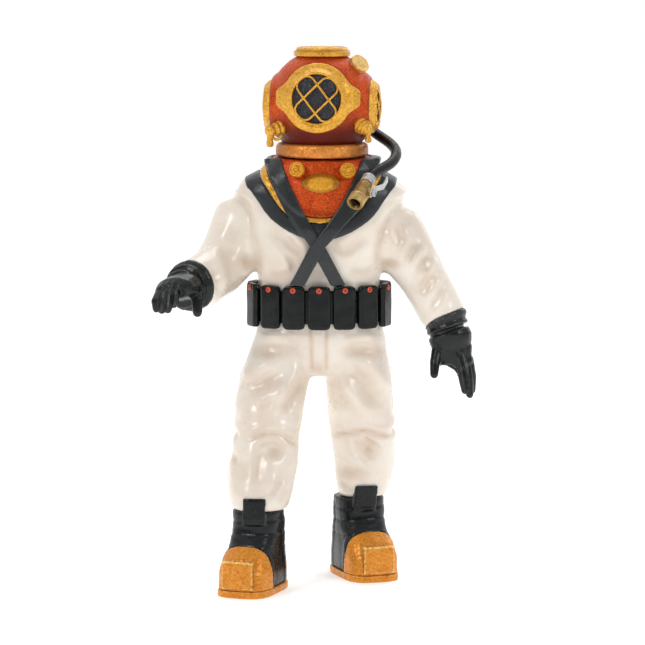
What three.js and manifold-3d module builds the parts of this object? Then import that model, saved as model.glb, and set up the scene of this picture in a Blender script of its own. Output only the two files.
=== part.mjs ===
// A free-standing helmet diver for ponds and aquaria. Air enters through a small ball valve on a rubber hose,
// passes into the back of the hollow helmet, and bubbles out through the vents in the helmet's top cap.
// Millimetres, +Z up, the diver faces -Y, and the diver's own left is +X.
import * as THREE from "three";
import { mergeVertices } from "three/addons/utils/BufferGeometryUtils.js";
import Module from "manifold-3d";

const wasm = await Module();
wasm.setup();
const { Manifold } = wasm;

// ---------------------------------------------------------------- driving dimensions
const GAP = 0.3; // between pieces that touch
const FLATNESS = 0.12; // facets flatter than this are merged
const SUIT_WALL = 5;

// Helmet
const HELMET_X = 2.3;
const HELMET_Z = 540; // height of the bonnet's widest level
const HELMET_RADIUS = 58;
const HELMET_WALL = 4;
const HELMET_SCALE = HELMET_RADIUS / 58; // its fittings are set out on a bonnet of this radius
const HELMET_YAW = -6.5; // degrees, the faceplate looks a little to the diver's right
const BONNET_MOUTH = 43; // radius of the bonnet where it enters the neck ring
const NECK_RING_RADIUS = 51.5;
const NECK_RING_HEIGHT = 15.5;
const NECK_RING_Z = 476.4; // underside
const FRONT_FRAME_THICKNESS = 4;
const SIDE_FRAME_THICKNESS = 8.5;
const FRONT_FRAME_RADIUS = 37;
const FRONT_GLASS_RADIUS = 27;
const FRONT_WINDOW_Z = 543;
const LUG_REACH = 45; // from the front window's centre to the end of its lugs
const LUG_HEIGHT = 15;
const SIDE_FRAME_RADIUS = 30;
const SIDE_GLASS_RADIUS = 22;
const SIDE_WINDOW_Z = 532;
const GLASS_THICKNESS = 3;
const GUARD_BAR = 2.2; // thickness of the window guards' bars
const GUARD_TURNS = [44, 127]; // degrees, the two directions the bars run in
const CAP_RADIUS = 31.5;
const CAP_TOP_RADIUS = 24;
const CAP_HEIGHT = 11;
const CAP_Z = HELMET_Z + 48 * HELMET_SCALE; // underside of the top cap
const VENT_RADIUS = 2.2;
const VENT_COUNT = 6;
const PLUG_RADIUS = 11;

// Suit
const WAIST_Z = 311; // jacket and trousers meet under the belt
const NECK_Z = 474; // top of the jacket
const CUFF_Z = 90; // top of the boots
const CENTRE_SEAM_X = -2;

// Belt
const BELT_HEIGHT = 38;
const BELT_THICKNESS = 3;
const WEIGHT_COUNT = 14;
const WEIGHT_WIDTH = 25.5;
const WEIGHT_HEIGHT = 49;
const WEIGHT_THICKNESS = 7;

// Harness, collar and corselet, as thicknesses over the jacket
const COLLAR_THICKNESS = 5;
const BRAIL_THICKNESS = 6.5;
const CORSELET_THICKNESS = 9;
const STRAP_THICKNESS = 9.5;
const STRAP_WIDTH = 14.5;

// Boots, in their own frame: heel at the origin, toe towards -Y
const BOOT_LENGTH = 95;
const BOOT_HALF_WIDTH = 30;
const SOLE_THICKNESS = 8;
const SOLE_MARGIN = 1; // the sole stands out this far past the upper
const TOE_PLATE_WIDTH = 34;
const TOE_PLATE_HEIGHT = 30;

// Hose and ball valve
const HOSE_DIAMETER = 11.8;
const FERRULE_RADIUS = HOSE_DIAMETER / 2 + 1.5;
const FERRULE_LENGTH = 11;
const VALVE_BODY_LENGTH = 35;
const VALVE_BODY_RADIUS = 8.2;
const VALVE_PORT_RADIUS = VALVE_BODY_RADIUS + 1.2; // outside of the threaded port
const VALVE_PORT_LENGTH = 12;
const PORT_BORE_RADIUS = 6.4;
const PORT_BORE_DEPTH = 11;
const WATERWAY_RADIUS = 2.8;
const BALL_RADIUS = 5.2;
const SEAT_THICKNESS = 1.6;
const SPINDLE_RADIUS = 2;
const LEVER_WIDTH = 8;
const LEVER_THICKNESS = 1.8;
const LEVER_REACH = 32;
const LEVER_OFFSET = 8; // the lever's arm stands this far out past its root

const Z = new THREE.Vector3(0, 0, 1);
const X = new THREE.Vector3(1, 0, 0);

// ---------------------------------------------------------------- materials
const paint = (color, roughness, metalness = 0) =>
  new THREE.MeshStandardMaterial({ color, roughness, metalness });
const cream = paint(0xe6ddcf, 0.35);
const black = paint(0x25292a, 0.3);
const copper = paint(0xa8431c, 0.38, 0.6);
const gold = paint(0xcf8f2a, 0.38, 0.6);
const glassBlack = paint(0x1c1e24, 0.5);
const brass = paint(0xa8834a, 0.42, 0.8);
const steel = paint(0xb9bab5, 0.35, 0.9);
const rubber = paint(0x1d1f20, 0.45);
const white = paint(0xeeeeea, 0.5);

// ---------------------------------------------------------------- tools
function toSolid(geometry) {
  const bare = geometry.clone();
  bare.deleteAttribute("normal");
  bare.deleteAttribute("uv");
  const merged = mergeVertices(bare, 1e-4);
  return new Manifold(
    new wasm.Mesh({
      numProp: 3,
      vertProperties: new Float32Array(merged.attributes.position.array),
      triVerts: new Uint32Array(merged.index.array),
    }),
  );
}

const figure = new THREE.Group();

function piece(name, solid, material) {
  const made = solid.simplify(FLATNESS).getMesh();
  const points = new Float32Array(made.numVert * 3);
  for (let i = 0; i < made.numVert; i++) {
    points.set(made.vertProperties.subarray(i * made.numProp, i * made.numProp + 3), i * 3);
  }
  const geometry = new THREE.BufferGeometry();
  geometry.setAttribute("position", new THREE.BufferAttribute(points, 3));
  geometry.setIndex(new THREE.BufferAttribute(made.triVerts, 1));
  geometry.computeVertexNormals();
  const mesh = new THREE.Mesh(geometry, material);
  mesh.name = name;
  figure.add(mesh);
  return solid;
}

const union = (...solids) => solids.reduce((a, b) => a.add(b));
const placed = (solid, matrix) => solid.transform(matrix.elements);
const degrees = (d) => (d * Math.PI) / 180;

// A matrix that puts +Z along direction at a point, with +X as near as it can be to sideways.
function along(at, direction, sideways = X) {
  const z = direction.clone().normalize();
  const x = sideways.clone().addScaledVector(z, -sideways.dot(z)).normalize();
  const y = z.clone().cross(x);
  return new THREE.Matrix4().makeBasis(x, y, z).setPosition(at);
}

// A closed skin through oval sections. Each station is [x, y, z, half-width, half-depth, squareness].
// Sections are level, or square to the path when sideways is given. grow widens them, and extend lengthens both
// ends.
function loft(stations, { sides = 24, grow = 0, extend = 0, sideways = null, power = 2.3 } = {}) {
  const centres = stations.map((s) => new THREE.Vector3(s[0], s[1], s[2]));
  const last = stations.length - 1;
  const rising = Math.sign(centres[last].z - centres[0].z) || 1;
  const points = [];
  const ends = [];
  stations.forEach((s, i) => {
    const tangent = sideways
      ? centres[Math.min(i + 1, last)].clone().sub(centres[Math.max(i - 1, 0)]).normalize()
      : Z.clone().multiplyScalar(rising);
    const reference = sideways || X;
    const u = reference.clone().addScaledVector(tangent, -reference.dot(tangent)).normalize();
    const v = tangent.clone().cross(u);
    const centre = centres[i].clone();
    if (i === 0) centre.addScaledVector(tangent, -extend);
    if (i === last) centre.addScaledVector(tangent, extend);
    ends.push(centre);
    for (let k = 0; k < sides; k++) {
      const angle = (2 * Math.PI * k) / sides;
      const shaped = (value) => Math.sign(value) * Math.abs(value) ** (2 / (s[5] || power));
      const across = (s[3] + grow) * shaped(Math.cos(angle));
      const deep = (s[4] + grow) * shaped(Math.sin(angle));
      points.push(centre.clone().addScaledVector(u, across).addScaledVector(v, deep));
    }
  });
  const first = points.length;
  points.push(ends[0], ends[last]);
  const faces = [];
  for (let i = 0; i < last; i++) {
    for (let k = 0; k < sides; k++) {
      const next = (k + 1) % sides;
      const [a, b, c, d] = [i * sides + k, i * sides + next, (i + 1) * sides + next, (i + 1) * sides + k];
      faces.push(a, b, c, a, c, d);
    }
  }
  for (let k = 0; k < sides; k++) {
    const next = (k + 1) % sides;
    faces.push(first, next, k, first + 1, last * sides + k, last * sides + next);
  }
  const geometry = new THREE.BufferGeometry().setFromPoints(points);
  geometry.setIndex(faces);
  return toSolid(geometry);
}

// A turned solid from [radius, height] pairs about +Z, from the bottom up. Its profile starts and ends on the axis.
function turned(profile, segments = 24) {
  const outline = profile.map(([r, z]) => new THREE.Vector2(r, z));
  return toSolid(new THREE.LatheGeometry(outline, segments).rotateX(Math.PI / 2));
}

const rod = (radius, low, high, segments = 20) =>
  turned([[0, low], [radius, low], [radius, high], [0, high]], segments);

function box(width, depth, height, x = 0, y = 0, z = 0) {
  return toSolid(new THREE.BoxGeometry(width, depth, height).translate(x, y, z));
}

// The outline of a round bar, for pushing along a path.
const roundSection = (radius, sides) =>
  new THREE.Shape(new THREE.EllipseCurve(0, 0, radius, radius).getPoints(sides).slice(0, sides));

// A front-view outline, [x, z] points, pushed right through the figure from front to back.
function prism(outline, curved = true, depth = 400) {
  const corners = outline.map(([x, z]) => new THREE.Vector2(x, z));
  const edge = curved ? new THREE.SplineCurve(corners).getPoints(outline.length * 2) : corners;
  const geometry = new THREE.ExtrudeGeometry(new THREE.Shape(edge), { depth, bevelEnabled: false });
  return toSolid(geometry.rotateX(Math.PI / 2).translate(0, depth / 2, 0));
}

// ---------------------------------------------------------------- suit
// Jacket, from the waist up. Its sides run straight up to the armpits and then out to the shoulders.
const jacketStations = [
  [-1, 0, WAIST_Z, 68, 42.6],
  [-1, 0, 338, 68, 42.6],
  [-1, 0, 347, 69.5, 45.5],
  [0, -1, 372, 74, 48],
  [0, -1, 400, 81, 49],
  [2, 0, 424, 91, 46],
  [0, 1, 438, 97, 43],
  [0, 1, 452, 82, 41],
  [1, 1, 463, 60, 40],
  [2, 1, NECK_Z, 45, 38],
];
const jacketSides = 24;
const jacketForm = (grow = 0, extend = 0) =>
  loft(jacketStations, { sides: jacketSides, grow, extend, power: 2.5 });
const jacketInside = loft(jacketStations, { sides: jacketSides, grow: -SUIT_WALL, extend: 1, power: 2.5 });
const jacketOuter = jacketForm();
const jacketClear = jacketForm(GAP, GAP);

// Trousers: one hip form and two legs, cast as two halves that meet on the centre seam.
const hipStations = [
  [-1, 0, WAIST_Z - GAP, 69, 43],
  [-1, 0, 290, 69.5, 44],
  [1, 0, 268, 74, 45],
  [0, -2, 248, 66, 40],
  [-2, -4, 232, 30, 26],
];
const rightLegStations = [
  [-37, -2, 280, 33.5, 41],
  [-48, -12, 238, 38.5, 42],
  [-56, -30, 200, 38.5, 40],
  [-59, -42, 165, 36.5, 38],
  [-63, -52, 132, 38, 38],
  [-66, -62, 108, 36, 36],
  [-67, -68, CUFF_Z + GAP, 31, 32],
];
const leftLegStations = [
  [37, 0, 280, 33.5, 41],
  [42, -2, 238, 37, 42],
  [45, 1, 200, 37, 40],
  [48, 6, 165, 37, 38],
  [50, 13, 132, 34.5, 36],
  [49, 20, 108, 31, 33],
  [48, 25, CUFF_Z + GAP, 27.5, 29],
];
const legForm = (stations, grow = 0, extend = 0) => loft(stations, { grow, extend, power: 2.4 });
const hips = loft(hipStations, { sides: 24 });
const hipsInside = loft(hipStations.slice(0, 4), { sides: 24, grow: -SUIT_WALL, extend: 1 });

function trouserHalf(name, stations, side) {
  const whole = union(hips, legForm(stations));
  const hollow = union(hipsInside, legForm(stations.slice(0, -1), -SUIT_WALL));
  const half = box(200, 300, 400, CENTRE_SEAM_X + side * (100 + GAP / 2), 0, 150);
  const hollowHalf = box(200, 300, 400, CENTRE_SEAM_X + side * (100 + SUIT_WALL), 0, 150);
  piece(name, whole.intersect(half).subtract(hollow.intersect(hollowHalf)), cream);
}

piece("jacket", jacketOuter.subtract(jacketInside), cream);
trouserHalf("right_trouser_leg", rightLegStations, -1);
trouserHalf("left_trouser_leg", leftLegStations, 1);

// Sleeves, cast solid, each butting against the jacket's side.
const rightSleeveStations = [
  [-68, 2, 394, 45, 33],
  [-86, 0, 391, 43, 34],
  [-101, -8, 366, 32.5, 32],
  [-114, -26, 350, 30, 31],
  [-129, -52, 342, 29, 29],
  [-141, -73, 339, 26, 26],
];
const leftSleeveStations = [
  [68, 2, 386, 42, 33],
  [86, 0, 382, 39, 33],
  [102, -3, 361, 30, 31],
  [114, -5, 342, 27, 29],
  [128, -9, 318, 26, 27],
  [139.5, -14, 295, 25, 25],
];
const upAndOut = (side) => new THREE.Vector3(side * 0.7, 0, 0.7);
const sleeve = (stations, side) =>
  loft(stations, { sides: 20, sideways: upAndOut(side) }).subtract(jacketClear);
const rightSleeve = piece("right_sleeve", sleeve(rightSleeveStations, -1), cream);
const leftSleeve = piece("left_sleeve", sleeve(leftSleeveStations, 1), cream);

// ---------------------------------------------------------------- gloves
// A finger is a tapering tube with a rounded tip, from [x, y, z, radius] points.
const acrossHand = new THREE.Vector3(1, 0.3, 0.4);
function finger(points) {
  const [x, y, z, r] = points[points.length - 1];
  const before = points[points.length - 2];
  const step = new THREE.Vector3(x - before[0], y - before[1], z - before[2]).setLength(r * 0.6);
  const tip = [x + step.x, y + step.y, z + step.z, r * 0.5, r * 0.5];
  const stations = [...points.map((p) => [p[0], p[1], p[2], p[3], p[3]]), tip];
  return loft(stations, { sides: 7, sideways: acrossHand, power: 2 });
}

// The gauntlet starts square on the sleeve's end and runs down to the wrist, from [distance, radius] pairs.
function gauntlet(sleeveStations, direction, profile) {
  const end = new THREE.Vector3(...sleeveStations[sleeveStations.length - 1]);
  const stations = profile.map(([distance, radius]) => {
    const at = end.clone().addScaledVector(direction, distance);
    return [at.x, at.y, at.z, radius, radius];
  });
  return loft(stations, { sides: 20, sideways: acrossHand, power: 2.1 });
}

function handDirection(stations) {
  const [a, b] = stations.slice(-2).map((s) => new THREE.Vector3(s[0], s[1], s[2]));
  return b.sub(a).normalize();
}

const rightPalmStations = [
  [-145, -86, 339, 18, 15],
  [-151, -102, 340, 22, 15],
  [-158, -116, 340, 22, 12],
  [-161, -123, 337, 20, 8],
];
const rightHand = union(
  gauntlet(rightSleeveStations, handDirection(rightSleeveStations), [[GAP, 28], [7, 27], [15, 23], [22, 20]]),
  loft(rightPalmStations, { sides: 16, sideways: new THREE.Vector3(1, -0.2, 0.15) }),
  finger([[-174, -115, 336, 5.2], [-178.5, -126, 327, 4.8], [-177.5, -127, 318, 4]]),
  finger([[-168, -119, 338, 5.4], [-172, -129, 329, 5], [-171.5, -130, 317, 4.2]]),
  finger([[-161, -121, 340, 5.5], [-165.5, -131, 331, 5.1], [-165, -132, 318, 4.3]]),
  finger([[-153, -120, 342, 5.6], [-157.5, -130, 335, 5.2], [-158.5, -132, 324, 4.4]]),
  finger([[-138, -98, 338, 8], [-134, -109, 327, 6.4], [-133.5, -112, 312, 4.8]]),
);
piece("right_glove", rightHand.subtract(rightSleeve), black);

const leftWristStations = [
  [144, -17, 284, 21, 20],
  [145.5, -18, 277, 24, 22.5],
  [146, -19, 270, 23.5, 21],
  [147, -20, 263, 21, 16],
];
const leftPalmStations = [
  [147, -20, 268, 20, 15],
  [149, -21, 258, 22, 13],
  [155, -22, 247, 17, 11],
  [161, -24, 240, 12, 9],
];
const leftHand = union(
  gauntlet(leftSleeveStations, handDirection(leftSleeveStations), [[GAP, 25.5], [7, 24], [14, 21]]),
  loft(leftWristStations, { sides: 20, sideways: X }),
  loft(leftPalmStations, { sides: 16, sideways: X }),
  finger([[155, -26, 252, 5.4], [159, -29, 232, 5], [162, -30, 215, 4]]),
  finger([[162, -24, 251, 5.4], [165.5, -26, 230, 5], [167.5, -27, 210, 4]]),
  finger([[166, -18, 252, 5.4], [170, -19, 231, 5], [170, -21, 214, 4]]),
  finger([[165, -12, 254, 5.2], [168, -12, 236, 4.8], [169, -13, 219, 3.8]]),
  finger([[132, -24, 263, 7.5], [128, -33, 248, 5.8], [127, -38, 234, 4.4]]),
);
piece("left_glove", leftHand.subtract(leftSleeve), black);

// ---------------------------------------------------------------- boots
const HALF_LENGTH = BOOT_LENGTH / 2;
const bootStations = [
  [0, -HALF_LENGTH - 1, SOLE_THICKNESS, BOOT_HALF_WIDTH - 0.5, HALF_LENGTH, 3.4],
  [0, -HALF_LENGTH - 0.5, 26, BOOT_HALF_WIDTH, HALF_LENGTH - 0.5, 3.2],
  [0, -HALF_LENGTH + 4.5, 42, BOOT_HALF_WIDTH - 1.5, HALF_LENGTH - 5.5, 2.9],
  [0, -35.5, 55, BOOT_HALF_WIDTH - 3, 34, 2.6],
  [0, -32, 68, BOOT_HALF_WIDTH - 3, 29.5, 2.4],
  [0, -31.5, CUFF_Z, BOOT_HALF_WIDTH - 2, 29, 2.3],
];
const TAB_WIDTH = 25;
const TAB_TOP = CUFF_Z + 16;

// heel is where the boot's back stands on the ground. tabX is the pull tab's offset from the boot's middle.
function boot(side, heel, yaw, leg, tabX) {
  const place = new THREE.Matrix4().makeRotationZ(degrees(yaw)).setPosition(heel);
  // The toe cap takes everything in front of a plane that leans back over the instep.
  const lean = new THREE.Matrix4().makeRotationX(degrees(10));
  const front = (gap) => placed(box(120, 100, 160, 0, -50, 0), lean.setPosition(0, 28 - BOOT_LENGTH + gap, 30));
  const form = loft(bootStations, { sides: 24 });
  const tabReach = box(TAB_WIDTH, 60, 24 + TAB_TOP - CUFF_Z, tabX, -62, (TAB_TOP + CUFF_Z - 24) / 2);
  const tab = legForm(leg, 3.5, 14).intersect(placed(tabReach, place));
  const upper = placed(form, place)
    .add(tab)
    .subtract(legForm(leg, GAP, GAP))
    .subtract(placed(front(GAP), place));
  piece(`${side}_boot`, upper, black);
  const plateZ = SOLE_THICKNESS + 2 + TOE_PLATE_HEIGHT / 2;
  const plate = box(TOE_PLATE_WIDTH, 6, TOE_PLATE_HEIGHT, 0, -BOOT_LENGTH + 0.5, plateZ);
  const capForm = loft(bootStations, { sides: 24, grow: 1.2 }).intersect(front(0));
  const aboveSole = box(200, 300, 200, 0, 0, SOLE_THICKNESS + 100);
  piece(`${side}_toe_cap`, placed(capForm.add(plate).intersect(aboveSole), place), gold);
  const [soleWidth, soleDepth] = [BOOT_HALF_WIDTH + SOLE_MARGIN, HALF_LENGTH + 1 + SOLE_MARGIN];
  const soleLevel = (z) => [0, -HALF_LENGTH - 1, z, soleWidth, soleDepth, 3.6];
  const solePlate = loft([soleLevel(SOLE_THICKNESS - GAP), soleLevel(0)], { sides: 28 });
  piece(`${side}_sole`, placed(solePlate, place), gold);
}
boot("right", new THREE.Vector3(-57.5, -39.7, 0), -20, rightLegStations, 6);
boot("left", new THREE.Vector3(33, 53.3, 0), 20, leftLegStations, -4);

// ---------------------------------------------------------------- collar, corselet and harness
const MIRROR_X = 1;
const mirrored = (half) => [...half, ...half.slice().reverse().map(([x, z]) => [2 * MIRROR_X - x, z])];
const TOP = NECK_Z + 30;
const collarOutline = mirrored([[-86, TOP], [-85, 452], [-74, 436], [-58, 413], [-38, 398], [-14, 388]]);
const brailOutline = mirrored([[-69, TOP], [-67, 462], [-56, 440], [-40, 418], [-20, 407]]);
const corseletOutline = mirrored([[-60, TOP], [-58, 462], [-48, 442], [-33, 423], [-16, 413]]);
const neckHole = rod(40, NECK_Z - 60, TOP + 40, 28).translate(HELMET_X, 0, 0);

// A sheet over the jacket, from one height above its skin to another, inside a front-view outline.
const sheet = (outline, low, high) =>
  jacketForm(high, high).subtract(jacketForm(low, low)).intersect(prism(outline));

const corseletStations = [
  [0, 0, 404, 58, 52],
  [0, -1, 425, 63, 55],
  [1, -1, 448, 65, 54],
  [HELMET_X, 0, 466, 53, 49],
  [HELMET_X, 0, NECK_RING_Z - GAP, 48.5, 47.5],
];
const corseletSkin = (grow = 0) =>
  union(jacketForm(CORSELET_THICKNESS + grow, 2), loft(corseletStations, { sides: 24, power: 2.2, grow }));
const belowRing = box(300, 300, 200, 0, 0, NECK_RING_Z - GAP - 100);
const corselet = corseletSkin()
  .subtract(jacketClear)
  .intersect(prism(corseletOutline))
  .intersect(belowRing)
  .subtract(neckHole);
piece("corselet", corselet, copper);
const clearOf = (outline) => prism(outline.map(([x, z]) => [x * 1.012, z - GAP]));
const [corseletReach, brailReach, collarReach] = [corseletOutline, brailOutline, collarOutline].map(clearOf);
piece("corselet_brail", sheet(brailOutline, GAP, BRAIL_THICKNESS).subtract(corseletReach), gold);
piece("collar", sheet(collarOutline, GAP, COLLAR_THICKNESS).subtract(brailReach), black);

// Plate and studs on the corselet's front.
const plateOutline = mirrored([[0, 460], [-12, 459], [-19, 455], [-22, 449.5], [-19, 444], [-12, 440], [0, 439]]);
const corseletFrontClear = corseletSkin().translate(0, -GAP, 0);
const frontOnly = box(400, 200, 900, 0, -100, 300);
const plate = corseletSkin()
  .translate(0, -4, 0)
  .subtract(corseletFrontClear)
  .intersect(prism(plateOutline, false))
  .intersect(frontOnly);
piece("corselet_plate", plate, gold);

const studProfile = [[0, -8], [6, -8], [6, 1], [8.6, 1.6], [8.6, 4], [7.4, 5], [3.4, 5.4], [3.2, 7.4], [0, 8.4]];
function stud(name, x, z, lean) {
  const stem = turned(studProfile, 20);
  const matrix = along(new THREE.Vector3(x, -53, z), new THREE.Vector3(lean, -1, 0.12));
  piece(name, placed(stem, matrix).subtract(corseletFrontClear), gold);
}
stud("right_corselet_stud", -25, 465, -0.35);
stud("left_corselet_stud", 30, 464, 0.35);

// Straps cross on the chest and the back and run down behind the belt's weights. The left one lies on top.
const WEIGHT_TOP = WAIST_Z + WEIGHT_HEIGHT / 2;
const crossing = [-2.7, 379.5];
const rightStrapLine = [[-66, TOP], [-53, 466], [-37, 434], [-20.5, 407], crossing, [20.3, WEIGHT_TOP + 0.5]];
const leftStrapLine = [[72, TOP], [55, 468], [46, 447], [35.3, 425], crossing, [-25.5, WEIGHT_TOP + 0.5]];

// The outline of a strap of constant width along a line of [x, z] points.
function strapBand(line, grow = 0) {
  const edge = (side) =>
    line.map(([x, z], i) => {
      const [before, after] = [line[Math.max(i - 1, 0)], line[Math.min(i + 1, line.length - 1)]];
      const slope = (after[0] - before[0]) / (after[1] - before[1]);
      return [x + side * (STRAP_WIDTH / 2 + grow) * Math.hypot(1, slope), z];
    });
  return [...edge(-1), ...edge(1).reverse()];
}
const strapFloor = union(
  jacketClear,
  corseletSkin(GAP).intersect(corseletReach),
  jacketForm(BRAIL_THICKNESS + GAP, 6).intersect(brailReach),
  jacketForm(COLLAR_THICKNESS + GAP, 5).intersect(collarReach),
);
function strapSolid(band, thickness) {
  const outside = box(400, 400, 60, 0, 0, NECK_RING_Z + 29.5);
  return jacketForm(thickness, thickness)
    .intersect(prism(band, false))
    .subtract(strapFloor)
    .subtract(rod(NECK_RING_RADIUS + 1, 455, 520, 32).translate(HELMET_X, 0, 0))
    .subtract(outside);
}
const largest = (solid) => solid.decompose().sort((a, b) => b.volume() - a.volume())[0];
const rightStrap = largest(strapSolid(strapBand(rightStrapLine), STRAP_THICKNESS));
piece("right_harness_strap", rightStrap, black);
const rightStrapReach = jacketForm(STRAP_THICKNESS + GAP, STRAP_THICKNESS)
  .intersect(prism(strapBand(rightStrapLine, GAP), false));
const leftStrapForm = strapSolid(strapBand(leftStrapLine), STRAP_THICKNESS + 3);
const leftStrap = largest(leftStrapForm.subtract(rightStrapReach));
piece("left_harness_strap", leftStrap, black);

// ---------------------------------------------------------------- belt
const BELT_X = -1;
const [WAIST_HALF_WIDTH, WAIST_HALF_DEPTH] = [69.3, 44];
function beltForm(grow, height) {
  const levels = [WAIST_Z - height / 2, WAIST_Z + height / 2];
  const stations = levels.map((z) => [BELT_X, 0, z, WAIST_HALF_WIDTH + grow, WAIST_HALF_DEPTH + grow]);
  return loft(stations, { sides: 40 });
}
const beltHollow = union(
  beltForm(GAP, BELT_HEIGHT + 4),
  legForm(leftLegStations, GAP),
  legForm(rightLegStations, GAP),
  loft(hipStations, { sides: 24, grow: GAP }),
);
piece("belt_band", beltForm(BELT_THICKNESS, BELT_HEIGHT).subtract(beltHollow), black);

function weightShape() {
  const [w, h, r] = [WEIGHT_WIDTH / 2 - 1.5, WEIGHT_HEIGHT / 2 - 1.5, 4];
  const shape = new THREE.Shape();
  shape.moveTo(-w + r, -h).lineTo(w - r, -h).quadraticCurveTo(w, -h, w, -h + r);
  shape.lineTo(w, h - r).quadraticCurveTo(w, h, w - r, h);
  shape.lineTo(-w + r, h).quadraticCurveTo(-w, h, -w, h - r);
  shape.lineTo(-w, -h + r).quadraticCurveTo(-w, -h, -w + r, -h);
  const bevel = { bevelThickness: 2, bevelSize: 1.5, bevelSegments: 2 };
  const depth = WEIGHT_THICKNESS - 2 * bevel.bevelThickness;
  const geometry = new THREE.ExtrudeGeometry(shape, { depth, curveSegments: 2, ...bevel });
  return toSolid(geometry.translate(0, 0, bevel.bevelThickness));
}

// Weights are spaced evenly along the belt's curve, starting in the middle of the front.
function beltPlaces(count) {
  const reach = BELT_THICKNESS + 0.8;
  const [wide, deep] = [WAIST_HALF_WIDTH + reach, WAIST_HALF_DEPTH + reach];
  const curve = new THREE.EllipseCurve(BELT_X, 0, wide, deep, -Math.PI / 2, 1.5 * Math.PI);
  return Array.from({ length: count }, (_, k) => {
    const at = curve.getPointAt(k / count);
    const forward = curve.getTangentAt(k / count);
    return [new THREE.Vector3(at.x, at.y, WAIST_Z), new THREE.Vector3(forward.y, -forward.x, 0)];
  });
}
const weightForm = weightShape();
beltPlaces(WEIGHT_COUNT).forEach(([at, outward], k) => {
  const clear = beltForm(BELT_THICKNESS + GAP, BELT_HEIGHT + 1);
  const sideways = outward.clone().cross(Z).negate();
  const weight = placed(weightForm, along(at, outward, sideways)).subtract(clear);
  piece(`belt_weight_${String(k + 1).padStart(2, "0")}`, weight, black);
});

// ---------------------------------------------------------------- helmet
const HELMET_SEGMENTS = 28;
const helmetAxis = new THREE.Matrix4().makeTranslation(HELMET_X, 0, 0);
const bonnetProfile = (grow) => [
  [BONNET_MOUTH + grow, NECK_RING_Z + 3 - grow],
  [BONNET_MOUTH + grow, NECK_RING_Z + NECK_RING_HEIGHT + GAP - grow],
  [HELMET_RADIUS * 0.86 + grow, 503],
  [HELMET_RADIUS * 0.945 + grow, 517],
  ...[-6, 12, 28, 43, 57, 70].map((a) => [
    (HELMET_RADIUS + grow) * Math.cos(degrees(a)),
    HELMET_Z + (HELMET_RADIUS - 4 + grow) * Math.sin(degrees(a)),
  ]),
];
function bonnetForm(grow) {
  const profile = bonnetProfile(grow);
  const [bottom, top] = [profile[0], profile[profile.length - 1]];
  return placed(turned([[0, bottom[1]], ...profile, [0, top[1]]], HELMET_SEGMENTS), helmetAxis);
}
const insideProfile = [
  [0, NECK_RING_Z - 20],
  [BONNET_MOUTH - HELMET_WALL, NECK_RING_Z - 20],
  ...bonnetProfile(-HELMET_WALL).slice(1),
  [0, CAP_Z],
];
const bonnetInside = placed(turned(insideProfile, HELMET_SEGMENTS), helmetAxis);
const bonnetOuter = bonnetForm(0);
const bonnetClear = bonnetForm(GAP);

// A level line out of the helmet's axis: azimuth runs from the front towards the diver's left.
function helmetRay(azimuth, z) {
  const turn = degrees(azimuth + HELMET_YAW);
  const direction = new THREE.Vector3(Math.sin(turn), -Math.cos(turn), 0);
  return { at: new THREE.Vector3(HELMET_X, 0, z), direction };
}
const sideways = (direction) => Z.clone().cross(direction).normalize();
const onHelmet = (solid, { at, direction }) => placed(solid, along(at, direction, sideways(direction)));

// Half of a lugged outline, seen looking straight at the window: round, with a flat-ended lug to each side.
const lugCorners = [
  [LUG_REACH - 5, -LUG_HEIGHT * 0.78],
  [LUG_REACH, -LUG_HEIGHT * 0.48],
  [LUG_REACH, LUG_HEIGHT * 0.48],
  [LUG_REACH - 5, LUG_HEIGHT * 0.78],
];

function lugOutline(radius) {
  const shape = new THREE.Shape();
  const rise = Math.asin(LUG_HEIGHT / radius) + 0.12;
  for (const side of [1, -1]) {
    lugCorners.forEach(([x, y], i) => {
      const draw = side === 1 && i === 0 ? "moveTo" : "lineTo";
      shape[draw](x * side, y * side);
    });
    const start = side === 1 ? 0 : Math.PI;
    shape.absarc(0, 0, radius, start + rise, start + Math.PI - rise, false);
  }
  return shape;
}

// A frame follows the bonnet's curve, with a raised lip round its glass and a guard over it.
function windowFrame(name, ray, radius, glassRadius, thickness, lugs) {
  const face = Math.sqrt((HELMET_RADIUS + thickness) ** 2 - glassRadius ** 2) + 1;
  const extrude = { depth: 90, bevelEnabled: false, curveSegments: 7 };
  const lipRadius = glassRadius + 2.4;
  const plain = [[0, 0], [radius, 0], [radius, face - 9], [radius - 2, face - 4.5], [lipRadius, face], [0, face]];
  const reach = lugs ? toSolid(new THREE.ExtrudeGeometry(lugOutline(radius), extrude)) : turned(plain, 26);
  const outline = onHelmet(reach, ray);
  const hole = onHelmet(rod(glassRadius, 0, 120, 22), ray);
  const ring = bonnetForm(thickness).intersect(outline);
  const lip = onHelmet(rod(lipRadius, 0, face, 22), ray);
  const frame = ring.add(lip).subtract(hole).subtract(bonnetClear).add(guard(ray, glassRadius, face));
  piece(name, largest(frame.subtract(bonnetClear)), gold);
  return face;
}

// Two pairs of crossing bars, in a shallow dome over the glass.
function guard(ray, glassRadius, face) {
  const rise = 5;
  const spacing = glassRadius * 0.36;
  const section = roundSection(GUARD_BAR / 2, 5);
  const bars = [-spacing, spacing].flatMap((offset) => {
    const half = Math.sqrt((glassRadius + 1) ** 2 - offset ** 2);
    const path = new THREE.QuadraticBezierCurve3(
      new THREE.Vector3(-half, offset, face - 2),
      new THREE.Vector3(0, offset, face + rise),
      new THREE.Vector3(half, offset, face - 2),
    );
    return GUARD_TURNS.map((turn) => {
      const bar = new THREE.ExtrudeGeometry(section, { steps: 5, extrudePath: path });
      return onHelmet(toSolid(bar.rotateZ(degrees(turn))), ray);
    });
  });
  return union(...bars);
}

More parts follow.
